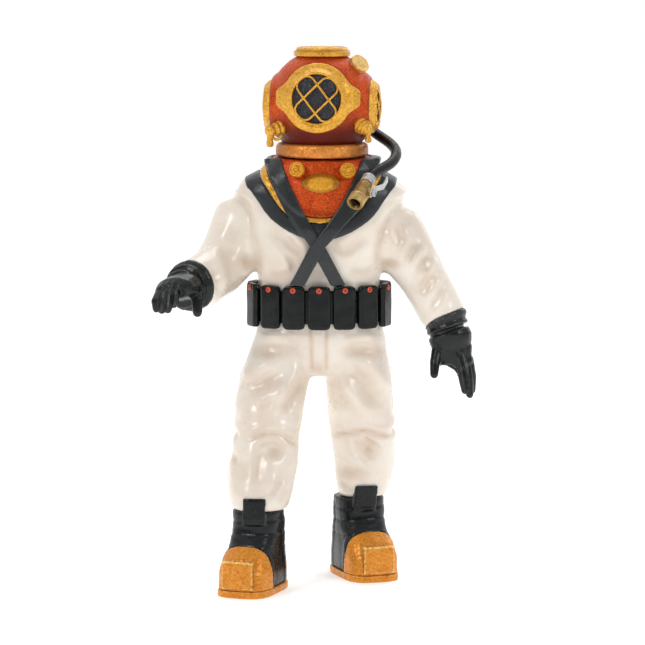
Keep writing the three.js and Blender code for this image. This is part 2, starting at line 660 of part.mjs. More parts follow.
const frontRay = helmetRay(0, FRONT_WINDOW_Z);
const [rightRay, leftRay] = [helmetRay(-90, SIDE_WINDOW_Z), helmetRay(90, SIDE_WINDOW_Z)];
const windows = [
  ["front", frontRay, FRONT_FRAME_RADIUS, FRONT_GLASS_RADIUS, FRONT_FRAME_THICKNESS, true],
  ["right", rightRay, SIDE_FRAME_RADIUS, SIDE_GLASS_RADIUS, SIDE_FRAME_THICKNESS, false],
  ["left", leftRay, SIDE_FRAME_RADIUS, SIDE_GLASS_RADIUS, SIDE_FRAME_THICKNESS, false],
];
let bonnet = bonnetOuter.subtract(bonnetInside);
for (const [side, ray, outer, glass, thickness, lugs] of windows) {
  const face = windowFrame(`${side}_window_frame`, ray, outer, glass, thickness, lugs);
  bonnet = bonnet.subtract(onHelmet(rod(glass, 20, 90, 22), ray));
  const front = face - 3.6;
  const disc = onHelmet(rod(glass - GAP, front - GLASS_THICKNESS, front, 22), ray);
  piece(`${side}_window_glass`, disc, glassBlack);
}

// Top cap with its vents, over an open port in the bonnet's crown.
const capProfile = [
  [0, 0],
  [CAP_RADIUS, 0],
  [CAP_RADIUS, 4.5],
  [CAP_RADIUS - 2, 6.5],
  [CAP_TOP_RADIUS + 2, 7.5],
  [CAP_TOP_RADIUS, 9.5],
  [CAP_TOP_RADIUS * 0.6, CAP_HEIGHT - 0.4],
  [0, CAP_HEIGHT],
];
let cap = turned(capProfile, 32).subtract(rod(CAP_TOP_RADIUS - 3, -5, 6, 28));
for (let k = 0; k < VENT_COUNT; k++) {
  const vent = rod(VENT_RADIUS, -2, 20, 10).translate(CAP_TOP_RADIUS * 0.55, 0, 0);
  cap = cap.subtract(vent.rotate(0, 0, (360 / VENT_COUNT) * k));
}
const capAt = new THREE.Matrix4().makeTranslation(HELMET_X, 0, CAP_Z);
piece("top_cap", placed(cap, capAt).subtract(bonnetClear), gold);
bonnet = bonnet.subtract(rod(CAP_TOP_RADIUS - 4, CAP_Z - 28, CAP_Z + 22, 28).translate(HELMET_X, 0, 0));

// A fitting's place, from the helmet's centre, which moves in and out with the bonnet's radius.
const onBonnet = (x, y, z) =>
  new THREE.Vector3(x, y, z).multiplyScalar(HELMET_SCALE).add(new THREE.Vector3(HELMET_X, 0, HELMET_Z));

// Crown plug, screwed in beside the top cap.
const plug = turned([[0, -17], [PLUG_RADIUS, -17], [PLUG_RADIUS, -1.4], [PLUG_RADIUS - 1.4, 0], [0, 0.6]], 20);
const capReach = placed(rod(CAP_RADIUS + GAP, -1, 14, 32), capAt);
const plugPlace = along(onBonnet(41.2, -17, 39.5), new THREE.Vector3(0.55, -0.55, 0.6));
piece("crown_plug", placed(plug, plugPlace).subtract(bonnetClear).subtract(capReach), gold);

const sideRod = rod(SIDE_FRAME_RADIUS + GAP, 0, HELMET_RADIUS + 12, 32);
const sideFrameReach = union(onHelmet(sideRod, rightRay), onHelmet(sideRod, leftRay));

// Spitcocks: a turned stem that stands out from the bonnet, with a drip spout below its nose.
function spitcock(name, root, direction, profile, spoutAt, spoutLength) {
  const stem = placed(turned(profile, 16), along(root, direction));
  const nose = root.clone().addScaledVector(direction.clone().normalize(), spoutAt);
  const spoutProfile = [[0, 0], [3.8, 0], [3, spoutLength * 0.5], [3.6, spoutLength * 0.8], [0, spoutLength]];
  const spout = placed(turned(spoutProfile, 12), along(nose, new THREE.Vector3(0, 0, -1)));
  piece(name, stem.add(spout).subtract(bonnetClear).subtract(sideFrameReach), gold);
}
const plainStem = [
  [0, -12],
  [9, -12],
  [9, 1],
  [7, 3],
  [7, 5],
  [5.6, 6],
  [5.6, 9],
  [7, 11],
  [7, 14],
  [4.5, 17.5],
  [0, 18.5],
];
const steppedStem = [
  [0, -12],
  [10, -12],
  [10, 1],
  [8.5, 2.5],
  [9, 4.5],
  [7.4, 6],
  [8, 8],
  [6, 9.5],
  [6.2, 12],
  [4, 15],
  [0, 16],
];
const rightLean = new THREE.Vector3(-0.8, -0.5, -0.25);
const leftLean = new THREE.Vector3(0.6, -0.6, -0.45);
spitcock("right_spitcock", onBonnet(-45.3, -25, -30), rightLean, plainStem, 13, 17);
spitcock("left_spitcock", onBonnet(41.7, -32, -26), leftLean, steppedStem, 12.5, 13);

// Neck ring: a rounded band that the bonnet drops into and the corselet butts against.
const ringSection = [[NECK_RING_RADIUS - 3, 0], [NECK_RING_RADIUS, 4], [NECK_RING_RADIUS, 11],
  [NECK_RING_RADIUS - 3, NECK_RING_HEIGHT]];
const ringBody = turned([[0, 0], ...ringSection, [0, NECK_RING_HEIGHT]], 28)
  .subtract(rod(38, -1, 30, 32))
  .translate(HELMET_X, 0, NECK_RING_Z);
piece("neck_ring", ringBody.subtract(bonnetClear), gold);

// ---------------------------------------------------------------- air line
// Hose, hand-laid from the elbow behind the helmet, out past the shoulder and round to the valve on the chest.
// Its start follows the bonnet's radius, and its end stays by the chest.
const hosePoints = [
  [45, 46, 515],
  [51.3, 39.1, 508.9],
  [57.5, 31.4, 503.6],
  [63.5, 23.1, 499.3],
  [69.7, 14.5, 495.6],
  [75.5, 5.6, 492.1],
  [80.3, -3.8, 488.5],
  [83.6, -13.7, 484.5],
  [84.4, -23.9, 480.2],
  [82.5, -33.9, 475.7],
  [78.4, -43.5, 471.7],
  [72.7, -52.6, 468.6],
  [66.3, -61.3, 465.9],
  [59.9, -69.9, 462.7],
];
const hoseRoute = hosePoints.map(([x, y, z], i) => {
  const follow = 1 + (HELMET_SCALE - 1) * (1 - i / hosePoints.length);
  return new THREE.Vector3(HELMET_X + (x - HELMET_X) * follow, y * follow, z);
});
const hoseEnd = new THREE.Vector3(54.3, -78.5, 458.3); // at the mouth of the ferrule
const valveDirection = new THREE.Vector3(-0.36, -0.75, -0.555).normalize();
const hoseSeat = FERRULE_LENGTH - 2; // the hose runs this far into the ferrule
hoseRoute.push(hoseEnd, hoseEnd.clone().addScaledVector(valveDirection, hoseSeat - GAP));
const hoseCurve = new THREE.CatmullRomCurve3(hoseRoute, false, "centripetal");
const hoseSection = roundSection(HOSE_DIAMETER / 2, 9);
const hose = toSolid(new THREE.ExtrudeGeometry(hoseSection, { steps: 26, extrudePath: hoseCurve }));
piece("air_hose", hose, rubber);

// Inlet elbow: a boss through the bonnet's wall and a spigot that meets the hose.
const hoseStart = hoseRoute[0];
const intoHelmet = new THREE.Vector3(HELMET_X, 0, HELMET_Z - 8).sub(hoseStart).normalize();
const hoseTangent = hoseCurve.getTangent(0);
const elbowReach = HOSE_DIAMETER / 2 + 2.1; // from the knee to the hose, clear of the knuckle
const elbowKnee = hoseStart.clone().addScaledVector(hoseTangent, -elbowReach);
const bossLength = 24;
const bossRadius = 7;
const knuckleRadius = HOSE_DIAMETER / 2 + 1.7;
const bossStart = elbowKnee.clone().addScaledVector(intoHelmet, -3);
const inletBoss = placed(rod(bossRadius, 0, bossLength, 14), along(bossStart, intoHelmet));
const spigot = placed(rod(HOSE_DIAMETER / 2 + 1, 0, elbowReach - GAP, 14), along(elbowKnee, hoseTangent));
const knuckle = toSolid(new THREE.SphereGeometry(knuckleRadius, 12, 8).translate(...elbowKnee.toArray()));
const elbow = union(inletBoss, spigot, knuckle);
const inletPlace = along(elbowKnee, intoHelmet);
bonnet = bonnet.subtract(placed(rod(bossRadius + GAP, -20, bossLength + 20, 18), inletPlace));
bonnet = bonnet.subtract(placed(rod(knuckleRadius + 2 * GAP, -20, 8, 18), inletPlace));
piece("inlet_elbow", elbow, brass);
piece("helmet_bonnet", largest(bonnet), copper);

// Air tube inside the helmet, up to the stone under the vents.
const tubeStart = elbowKnee.clone().addScaledVector(intoHelmet, bossLength - 3 + GAP);
const STONE_RADIUS = 8;
const STONE_LOW = CAP_Z - 26;
const STONE_HIGH = CAP_Z - 8;
const tubeEnd = new THREE.Vector3(HELMET_X, 0, STONE_LOW - GAP);
const tubePath = new THREE.CubicBezierCurve3(
  tubeStart,
  tubeStart.clone().addScaledVector(intoHelmet, 14),
  new THREE.Vector3(HELMET_X, 0, STONE_LOW - 24),
  tubeEnd,
);
const tube = new THREE.ExtrudeGeometry(roundSection(3, 8), { steps: 12, extrudePath: tubePath });
piece("air_tube", toSolid(tube), white);
piece("air_stone", rod(STONE_RADIUS, STONE_LOW, STONE_HIGH, 16).translate(HELMET_X, 0, 0), white);

// Ball valve, in its own frame: +Z runs from the hose to the threaded port, and the spindle stands along +X.
const valveFrame = along(hoseEnd, valveDirection, X);
const inValve = (solid) => placed(solid, valveFrame);
const bodyStart = FERRULE_LENGTH + GAP;
const bodyEnd = bodyStart + VALVE_BODY_LENGTH;
const portStart = bodyEnd - VALVE_PORT_LENGTH;
const ballZ = bodyStart + 11;
const spindleReach = VALVE_BODY_RADIUS + 5;

const ferrule = rod(FERRULE_RADIUS, 0, FERRULE_LENGTH, 20)
  .subtract(rod(HOSE_DIAMETER / 2 + GAP, -1, hoseSeat, 20))
  .subtract(rod(WATERWAY_RADIUS, 0, FERRULE_LENGTH + 1, 12));
piece("valve_ferrule", inValve(ferrule), steel);

const bodyProfile = [
  [0, bodyStart],
  [6.8, bodyStart],
  [VALVE_BODY_RADIUS - 1, bodyStart + 3],
  [VALVE_BODY_RADIUS, ballZ - 5],
  [VALVE_BODY_RADIUS, portStart - 1],
  [VALVE_PORT_RADIUS, portStart],
  [VALVE_PORT_RADIUS, bodyEnd - 1],
  [VALVE_PORT_RADIUS - 1, bodyEnd],
  [0, bodyEnd],
];
const sideways90 = new THREE.Matrix4().makeRotationY(Math.PI / 2);
const acrossValve = (solid) => placed(solid, sideways90).translate(0, 0, ballZ);
const chamberRadius = BALL_RADIUS + GAP;
const chamberReach = chamberRadius + SEAT_THICKNESS;
const body = turned(bodyProfile, 24)
  .add(acrossValve(rod(4.6, 0, VALVE_BODY_RADIUS + 1.6, 18)))
  .subtract(rod(WATERWAY_RADIUS, bodyStart - 1, bodyEnd + 1, 16))
  .subtract(rod(PORT_BORE_RADIUS, bodyEnd - PORT_BORE_DEPTH, bodyEnd + 1, 20))
  .subtract(rod(chamberRadius, ballZ - chamberReach, ballZ + chamberReach, 20))
  .subtract(acrossValve(rod(SPINDLE_RADIUS + GAP, 0, spindleReach + 2, 16)));
piece("valve_body", inValve(body), brass);

const ballForm = (radius) => toSolid(new THREE.SphereGeometry(radius, 14, 9).translate(0, 0, ballZ));
const ball = ballForm(BALL_RADIUS)
  .subtract(rod(WATERWAY_RADIUS, ballZ - 10, ballZ + 10, 16))
  .subtract(box(2 * SPINDLE_RADIUS, 2.2, 6, BALL_RADIUS, 0, ballZ));
piece("valve_ball", inValve(ball), steel);

function seat(name, side) {
  const middle = ballZ + side * (chamberRadius + SEAT_THICKNESS / 2 - 1.2);
  const ring = rod(chamberRadius - GAP, middle - 1.1, middle + 1.1, 20)
    .subtract(rod(WATERWAY_RADIUS, middle - 3, middle + 3, 16))
    .subtract(ballForm(BALL_RADIUS + GAP));
  piece(name, inValve(largest(ring)), white);
}
seat("valve_seat_upper", -1);
seat("valve_seat_lower", 1);

const tongue = box(3, 1.6, 3.4, BALL_RADIUS - 0.2, 0, ballZ); // drives the ball's slot
const spindle = acrossValve(rod(SPINDLE_RADIUS, BALL_RADIUS - 0.6, spindleReach, 14))
  .add(tongue)
  .subtract(ballForm(BALL_RADIUS + 0.2).subtract(tongue));
piece("valve_spindle", inValve(largest(spindle)), steel);

// The lever's root sits on the spindle; its arm cranks out and runs back beside the hose while the valve is open.
const leverRoot = VALVE_BODY_RADIUS + 1.6 + GAP;
const [low, high] = [leverRoot, leverRoot + LEVER_THICKNESS];
const leverSide = [
  [5, low],
  [-5, low],
  [-5 - LEVER_OFFSET, low + LEVER_OFFSET],
  [5 - LEVER_REACH, low + LEVER_OFFSET],
  [5 - LEVER_REACH, high + LEVER_OFFSET],
  [-5.8 - LEVER_OFFSET, high + LEVER_OFFSET],
  [-5.8, high],
  [5, high],
];
const leverShape = new THREE.Shape(leverSide.map(([z, x]) => new THREE.Vector2(x, z)));
const leverGeometry = new THREE.ExtrudeGeometry(leverShape, { depth: LEVER_WIDTH, bevelEnabled: false })
  .translate(0, 0, -LEVER_WIDTH / 2).rotateX(Math.PI / 2);
const lever = toSolid(leverGeometry).translate(0, 0, ballZ)
  .subtract(acrossValve(rod(SPINDLE_RADIUS + GAP, 0, spindleReach + 5, 14)));
piece("valve_lever", inValve(lever), steel);
const nutForm = rod(4.2, high + GAP, high + GAP + 3.2, 6);
const nut = acrossValve(nutForm.subtract(rod(SPINDLE_RADIUS + GAP, 0, 40, 14)));
piece("lever_nut", inValve(nut), steel);

// ---------------------------------------------------------------- stand the figure over the origin
// The origin is under the middle of the figure's own box, without the hose and what hangs on it.
const onHose = /^(air_hose|valve_|lever_nut)/;
const extent = new THREE.Box3();
for (const mesh of figure.children) {
  if (!onHose.test(mesh.name)) extent.expandByObject(mesh);
}
const middle = extent.getCenter(new THREE.Vector3());
figure.position.set(-middle.x, -middle.y, -extent.min.z);

export default figure;
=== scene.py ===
"""A helmet diver pond ornament: cast resin under gloss paint, with a rubber air hose and a small ball
valve.  Shapes are worked out in the figure's own millimetres: +Z up, the diver faces -Y, the diver's left
is +X, and the helmet's axis stands at x = HELMET_X, y = 0. metres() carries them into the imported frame.
"""

import math

import bpy
import numpy as np
from mathutils import Matrix, Vector, noise
from mathutils.bvhtree import BVHTree
from mathutils.kdtree import KDTree


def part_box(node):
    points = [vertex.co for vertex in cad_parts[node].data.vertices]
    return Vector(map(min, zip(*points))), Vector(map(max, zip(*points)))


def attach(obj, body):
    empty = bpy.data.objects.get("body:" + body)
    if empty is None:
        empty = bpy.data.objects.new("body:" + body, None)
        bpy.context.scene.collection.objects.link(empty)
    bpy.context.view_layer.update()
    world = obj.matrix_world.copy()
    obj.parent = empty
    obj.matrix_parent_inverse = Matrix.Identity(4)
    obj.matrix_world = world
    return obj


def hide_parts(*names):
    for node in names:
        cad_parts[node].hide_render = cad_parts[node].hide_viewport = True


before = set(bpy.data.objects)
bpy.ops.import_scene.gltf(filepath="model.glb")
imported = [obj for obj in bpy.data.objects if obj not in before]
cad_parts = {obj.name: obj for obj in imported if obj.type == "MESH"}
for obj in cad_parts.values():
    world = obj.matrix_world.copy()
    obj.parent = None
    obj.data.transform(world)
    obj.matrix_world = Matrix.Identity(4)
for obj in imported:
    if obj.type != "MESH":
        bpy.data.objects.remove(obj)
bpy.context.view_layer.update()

MM = 0.001
HELMET_X = 2.3
ring_low, ring_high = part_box("neck_ring")
FIGURE = (ring_low + ring_high) / 2
FIGURE = Vector((FIGURE.x - HELMET_X * MM, FIGURE.y, 0))

HELMET_RADIUS = 58
HELMET_Z = 540
HELMET_YAW = math.radians(-6.5)
FOLD_WIDENING = 1.25  # a fold is this much wider than the width it is given
RIDGE_GAIN = 1.5  # and its ridges are this much higher
HOSE_DIAMETER = 11.8


def metres(points):
    """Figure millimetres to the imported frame."""
    return np.asarray(points, float) * MM + np.array(FIGURE)


def figure_mm(points):
    """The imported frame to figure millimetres."""
    return (np.asarray(points, float) - np.array(FIGURE)) / MM


# ---------------------------------------------------------------- camera
def make_camera():
    data = bpy.data.cameras.new("camera")
    data.sensor_width = 36
    data.lens = 200.4
    data.clip_end = 200
    camera = bpy.data.objects.new("camera", data)
    bpy.context.scene.collection.objects.link(camera)
    camera.location = metres((2.8, -4000, 770))
    camera.rotation_euler = (math.radians(90 - 6.855), 0, 0)
    bpy.context.scene.camera = camera


# ---------------------------------------------------------------- material tools
def srgb(*levels):
    """A colour given as 0 to 255 levels, as the linear colour that shaders take."""
    return (*[((c / 255 + 0.055) / 1.055) ** 2.4 if c > 10 else c / 255 / 12.92 for c in levels], 1.0)


class Paint:
    """A procedural material, its nodes added one call at a time. Sizes of patterns are in millimetres."""

    def __init__(self, name, **sockets):
        self.material = bpy.data.materials.new(name)
        self.material.use_nodes = True
        self.nodes = self.material.node_tree.nodes
        self.shader = self.nodes["Principled BSDF"]
        for socket, value in sockets.items():
            self.shader.inputs[socket.replace("_", " ")].default_value = value
        self.place = self.nodes.new("ShaderNodeTexCoord").outputs["Object"]

    def join(self, value, socket):
        """Puts a number, a colour or another node's output into a socket."""
        if isinstance(value, bpy.types.NodeSocket):
            self.material.node_tree.links.new(value, socket)
        else:
            socket.default_value = value

    def noise(self, size, detail=3.0, roughness=0.55, place=None):
        node = self.nodes.new("ShaderNodeTexNoise")
        self.join(place or self.place, node.inputs["Vector"])
        node.inputs["Scale"].default_value = 1 / (size * MM)
        node.inputs["Detail"].default_value = detail
        node.inputs["Roughness"].default_value = roughness
        return node.outputs["Fac"]

    def cells(self, size, output="Distance", feature="F1"):
        node = self.nodes.new("ShaderNodeTexVoronoi")
        node.feature = feature
        self.join(self.place, node.inputs["Vector"])
        node.inputs["Scale"].default_value = 1 / (size * MM)
        return node.outputs[output]

    def stretched(self, x, y, z):
        """The place with each axis scaled, for streaks and lines."""
        node = self.nodes.new("ShaderNodeMapping")
        self.join(self.place, node.inputs["Vector"])
        node.inputs["Scale"].default_value = (x, y, z)
        return node.outputs["Vector"]

    def attribute(self, name):
        node = self.nodes.new("ShaderNodeAttribute")
        node.attribute_name = name
        return node.outputs["Fac"]

    def levels(self, value, low, high, to_low=0.0, to_high=1.0):
        node = self.nodes.new("ShaderNodeMapRange")
        self.join(value, node.inputs["Value"])
        for socket, number in (("From Min", low), ("From Max", high), ("To Min", to_low),
            ("To Max", to_high)):
            node.inputs[socket].default_value = number
        return node.outputs["Result"]

    def maths(self, operation, a, b):
        node = self.nodes.new("ShaderNodeMath")
        node.operation = operation
        node.use_clamp = True
        self.join(a, node.inputs[0])
        self.join(b, node.inputs[1])
        return node.outputs[0]

    def mix(self, share, a, b, mode="MIX"):
        node = self.nodes.new("ShaderNodeMix")
        node.data_type = "RGBA"
        node.blend_type = mode
        colours = [s for s in node.inputs if s.type == "RGBA"]
        self.join(share, node.inputs["Factor"])
        self.join(a, colours[0])
        self.join(b, colours[1])
        return next(s for s in node.outputs if s.type == "RGBA")

    def bump(self, height, depth, under=None, strength=1.0):
        node = self.nodes.new("ShaderNodeBump")
        self.join(height, node.inputs["Height"])
        node.inputs["Distance"].default_value = depth * MM
        node.inputs["Strength"].default_value = strength
        if under:
            self.join(under, node.inputs["Normal"])
        return node.outputs["Normal"]

    def done(self, colour, roughness=None, normal=None):
        self.join(colour, self.shader.inputs["Base Color"])
        if roughness is not None:
            self.join(roughness, self.shader.inputs["Roughness"])
        if normal is not None:
            self.join(normal, self.shader.inputs["Normal"])
        return self.material

    def brightness(self, colour):
        """A colour's brightness as a number."""
        node = self.nodes.new("ShaderNodeRGBToBW")
        self.join(colour, node.inputs[0])
        return node.outputs[0]


# ---------------------------------------------------------------- materials
def suit_paint():
    """Off-white gloss over resin, with brown-pink in the folds that is partly the real antiquing and partly
    painted shade.
    """
    p = Paint("suit_paint", Coat_Weight=0.35, Coat_Roughness=0.16, IOR=1.46)
    cream = p.mix(p.levels(p.noise(46, 2), 0.35, 0.68), srgb(242, 234, 221), srgb(234, 221, 206))
    blush = p.mix(p.levels(p.noise(70, 2), 0.5, 0.75, 0, 0.55), cream, srgb(228, 206, 192))
    uneven = p.levels(p.noise(9, 4), 0.25, 0.8, 0.6, 1.1)
    wash_and_shade = p.attribute("wash_and_shade")
    # brown-pink in the folds, darkest in the deepest: partly antiquing, partly painted shade
    thin = p.mix(p.maths("MULTIPLY", wash_and_shade, uneven), blush, srgb(206, 178, 152))
    deep = p.levels(wash_and_shade, 0.7, 1.0, 0, 0.6)
    stain_and_shade = p.mix(deep, thin, srgb(174, 132, 104))
    specks = p.levels(p.noise(1.1, 1), 0.73, 0.79, 0, 0.25)
    colour = p.mix(specks, stain_and_shade, srgb(190, 160, 135))
    roughness = p.levels(p.noise(12, 3), 0.3, 0.7, 0.24, 0.4)
    brushed = p.bump(p.noise(9, 2), 0.25)
    return p.done(colour, roughness, p.bump(p.noise(1.3, 2), 0.03, brushed))


def copper_paint():
    """Hammered copper: a pebbled metallic paint, with painted shade in its dimples, painted highlight on its
    raised pebbles and painted glints in fine specks.
    """
    p = Paint("copper_paint", Metallic=0.4, Specular_IOR_Level=0.25, Coat_Weight=0.05, Coat_Roughness=0.25)
    pebbles = p.cells(1.5, feature="SMOOTH_F1")
    grain = p.noise(0.9, 2)
    base = p.mix(p.levels(p.noise(22, 3), 0.3, 0.7), srgb(216, 84, 16), srgb(184, 54, 6))
    # painted highlight on the raised pebbles
    highlit_tops = p.mix(p.levels(pebbles, 0.34, 0.12, 0, 0.4), base, srgb(238, 120, 46))
    # painted shade in the dimples between the pebbles
    shaded_pits = p.mix(p.levels(pebbles, 0.42, 0.62, 0, 0.4), highlit_tops, srgb(116, 26, 4))
    # painted glints: fine bright specks
    painted_glints = p.mix(p.levels(grain, 0.6, 0.7, 0, 0.5), shaded_pits, srgb(240, 156, 92))
    # painted shade low on the bonnet, round its frames and at the corselet's edges
    colour = p.mix(p.attribute("wash_and_shade"), painted_glints, srgb(84, 14, 4))
    # lighter edges: partly rub marks, partly painted highlight
    worn_and_highlit = p.mix(p.attribute("wear_and_highlight"), colour, srgb(226, 132, 78))
    roughness = p.levels(p.noise(3, 3), 0.3, 0.7, 0.3, 0.5)
    hammered = p.bump(p.levels(pebbles, 0.0, 0.7, 1, 0), 0.3)
    return p.done(worn_and_highlit, roughness, p.bump(grain, 0.1, hammered))


def gold_paint(name, light, middle, dark, pebble, depth, metallic=0.5):
    """Antiqued gold over resin: brown in its hollows that is partly antiquing and partly painted shade,
    painted shade in its pebble dimples, painted highlight specks, and lighter edges that are partly rub marks
    and partly painted highlight.
    """
    p = Paint(name, Metallic=metallic, Specular_IOR_Level=0.35, Coat_Weight=0.08, Coat_Roughness=0.2)
    pebbles = p.cells(pebble, feature="SMOOTH_F1")
    grain = p.noise(pebble * 0.55, 2)
    base = p.mix(p.levels(p.noise(9, 4), 0.3, 0.72), light, middle)
    # painted highlight specks
    highlit_tops = p.mix(p.levels(grain, 0.52, 0.72, 0, 0.6), base, srgb(246, 205, 112))
    # painted shade in the pebble dimples
    shaded_pits = p.mix(p.levels(pebbles, 0.4, 0.66, 0, 0.45), highlit_tops, dark)
    cloud = p.mix(p.levels(p.noise(5, 4), 0.55, 0.8, 0, 0.35), shaded_pits, dark)
    # brown in hollows: partly antiquing, partly painted shade
    washed_and_shaded = p.mix(p.attribute("wash_and_shade"), cloud, srgb(104, 52, 12))
    # lighter edges: partly rub marks, partly painted highlight
    colour = p.mix(p.attribute("wear_and_highlight"), washed_and_shaded, srgb(250, 214, 126))
    roughness = p.levels(p.noise(4, 3), 0.3, 0.7, 0.28, 0.46)
    beaten = p.bump(p.levels(pebbles, 0.0, 0.7, 1, 0), depth)
    return p.done(colour, roughness, p.bump(grain, depth * 0.4, beaten))


def black_paint(name, shade, low, high, painted_sheen_colour, gloss=0.3):
    """Gloss black over resin, with patches of a lighter painted sheen, greyer edges that are partly rub marks
    and partly painted highlight, and fine scuffs.
    """
    p = Paint(name, Specular_IOR_Level=gloss, IOR=1.45)
    # random patches of a lighter black: painted sheen
    base = p.mix(p.levels(p.noise(14, 4), 0.3, 0.72), shade, painted_sheen_colour)
    # greyer edges: partly rub marks, partly painted highlight
    rubbed_and_highlit = p.mix(p.maths("MULTIPLY", p.attribute("wear_and_highlight"), p.levels(p.noise(2.2, 3), 0.3, 0.62)), base,
        srgb(84, 88, 88))
    dusty = p.mix(p.maths("MULTIPLY", p.attribute("wash_and_shade"), 0.4), rubbed_and_highlit, srgb(40, 36, 32))
    scuffs = p.levels(p.noise(3.5, 5, place=p.stretched(1, 1, 0.3)), 0.62, 0.7, 0, 0.1)
    colour = p.mix(scuffs, dusty, srgb(80, 82, 80))
    roughness = p.levels(p.noise(6, 4), 0.3, 0.7, low, high)
    dimpled = p.bump(p.noise(5, 2), 0.16)
    return p.done(colour, roughness, p.bump(p.noise(0.8, 2), 0.02, dimpled))


def window_paint():
    """Black flock with a fine blue-grey glitter, its brightest specks painted glints."""
    p = Paint("window_paint", Metallic=0.15)
    flakes = p.cells(0.85, output="Color")
    bright = p.levels(p.brightness(flakes), 0.35, 1.0, 0, 0.75)
    colour = p.mix(bright, srgb(10, 10, 14), srgb(74, 76, 90))
    # painted glints: the brightest specks of the glitter
    glitter = p.mix(p.levels(p.noise(0.9, 2), 0.63, 0.7), colour, srgb(150, 152, 162))
    roughness = p.levels(p.noise(1.2, 2), 0.3, 0.7, 0.35, 0.65)
    woven = p.bump(p.cells(1.1), 0.5)
    return p.done(glitter, roughness, p.bump(p.noise(0.6, 2), 0.2, woven))


def screw_paint():
    p = Paint("screw_paint", Metallic=0.35, Coat_Weight=0.5, Coat_Roughness=0.1)
    base = p.mix(p.levels(p.noise(1.4, 3), 0.35, 0.7), srgb(240, 92, 36), srgb(206, 62, 22))
    # dark in the cross slot as painted shade
    colour = p.mix(p.attribute("wash_and_shade"), base, srgb(70, 14, 8))
    return p.done(colour, p.levels(p.noise(1, 2), 0.3, 0.7, 0.22, 0.4), p.bump(p.noise(0.7, 2), 0.06))


def rubber():
    p = Paint("hose_rubber", Specular_IOR_Level=0.25, IOR=1.5)
    colour = p.mix(p.levels(p.noise(11, 4), 0.35, 0.7), srgb(12, 12, 13), srgb(22, 22, 22))
    dusted = p.mix(p.levels(p.noise(2.4, 5), 0.6, 0.75, 0, 0.2), colour, srgb(66, 64, 60))
    roughness = p.levels(p.noise(5, 4), 0.3, 0.7, 0.3, 0.5)
    return p.done(dusted, roughness, p.bump(p.noise(1.6, 3), 0.08))


def brass():
    """Turned brass gone dull, with random brown stains, painted shade in its bore and hollows, and lighter
    edges and lands that are partly rub marks and partly painted highlight.
    """
    p = Paint("valve_brass", Metallic=0.85)
    base = p.mix(p.levels(p.noise(6, 4), 0.3, 0.7), srgb(182, 148, 90), srgb(138, 108, 62))
    stain_and_shade = p.mix(p.levels(p.noise(2.2, 4), 0.55, 0.75, 0, 0.7), base, srgb(92, 68, 40))
    colour = p.mix(p.attribute("wash_and_shade"), stain_and_shade, srgb(48, 34, 20))
    worn_and_highlit = p.mix(p.attribute("wear_and_highlight"), colour, srgb(220, 190, 130))
    roughness = p.levels(p.noise(3, 3), 0.3, 0.7, 0.34, 0.6)
    return p.done(worn_and_highlit, roughness, p.bump(p.noise(0.7, 3), 0.08))


def steel():
    """Plated steel with fine brushing and a little grey in the scratches."""
    p = Paint("valve_steel", Metallic=0.7)
    lines = p.noise(1.2, 3, place=p.stretched(1, 1, 6))
    base = p.mix(p.levels(lines, 0.3, 0.7), srgb(206, 206, 202), srgb(168, 170, 170))
    colour = p.mix(p.levels(p.noise(3, 4), 0.58, 0.75, 0, 0.6), base, srgb(128, 130, 130))
    roughness = p.levels(p.noise(2, 3), 0.3, 0.7, 0.34, 0.5)
    return p.done(colour, roughness, p.bump(lines, 0.02))


def inner_plastic():
    p = Paint("inner_plastic")
    colour = p.mix(p.levels(p.noise(2, 4), 0.35, 0.7), srgb(232, 232, 226), srgb(206, 206, 198))
    return p.done(colour, p.levels(p.noise(3, 2), 0.3, 0.7, 0.45, 0.65), p.bump(p.noise(0.8, 3), 0.1))


# ---------------------------------------------------------------- meshes
def smoothstep(low, high, value):
    t = np.clip((value - low) / (high - low), 0, 1)
    return t * t * (3 - 2 * t)


def sampled(points, steps=8):
    """A smooth line through points, as many short steps. Works in two or three dimensions."""
    p = np.asarray(points, float)
    if len(p) < 3:
        return np.linspace(p[0], p[-1], steps + 1)
    padded = np.vstack([2 * p[0] - p[1], p, 2 * p[-1] - p[-2]])
    out = []
    for i in range(1, len(padded) - 2):
        a, b, c, d = padded[i - 1 : i + 3]
        for t in np.arange(steps) / steps:
            out.append(0.5 * (2 * b + (c - a) * t + (2 * a - 5 * b + 4 * c - d) * t**2
                + (3 * b - a - 3 * c + d) * t**3))
    return np.array([*out, p[-1]])


VIEWS = {
    "front": (0, 2, np.array([0, -1, 0])),
    "back": (0, 2, np.array([0, 1, 0])),
    "right": (1, 2, np.array([-1, 0, 0])),
    "left": (1, 2, np.array([1, 0, 0])),
}


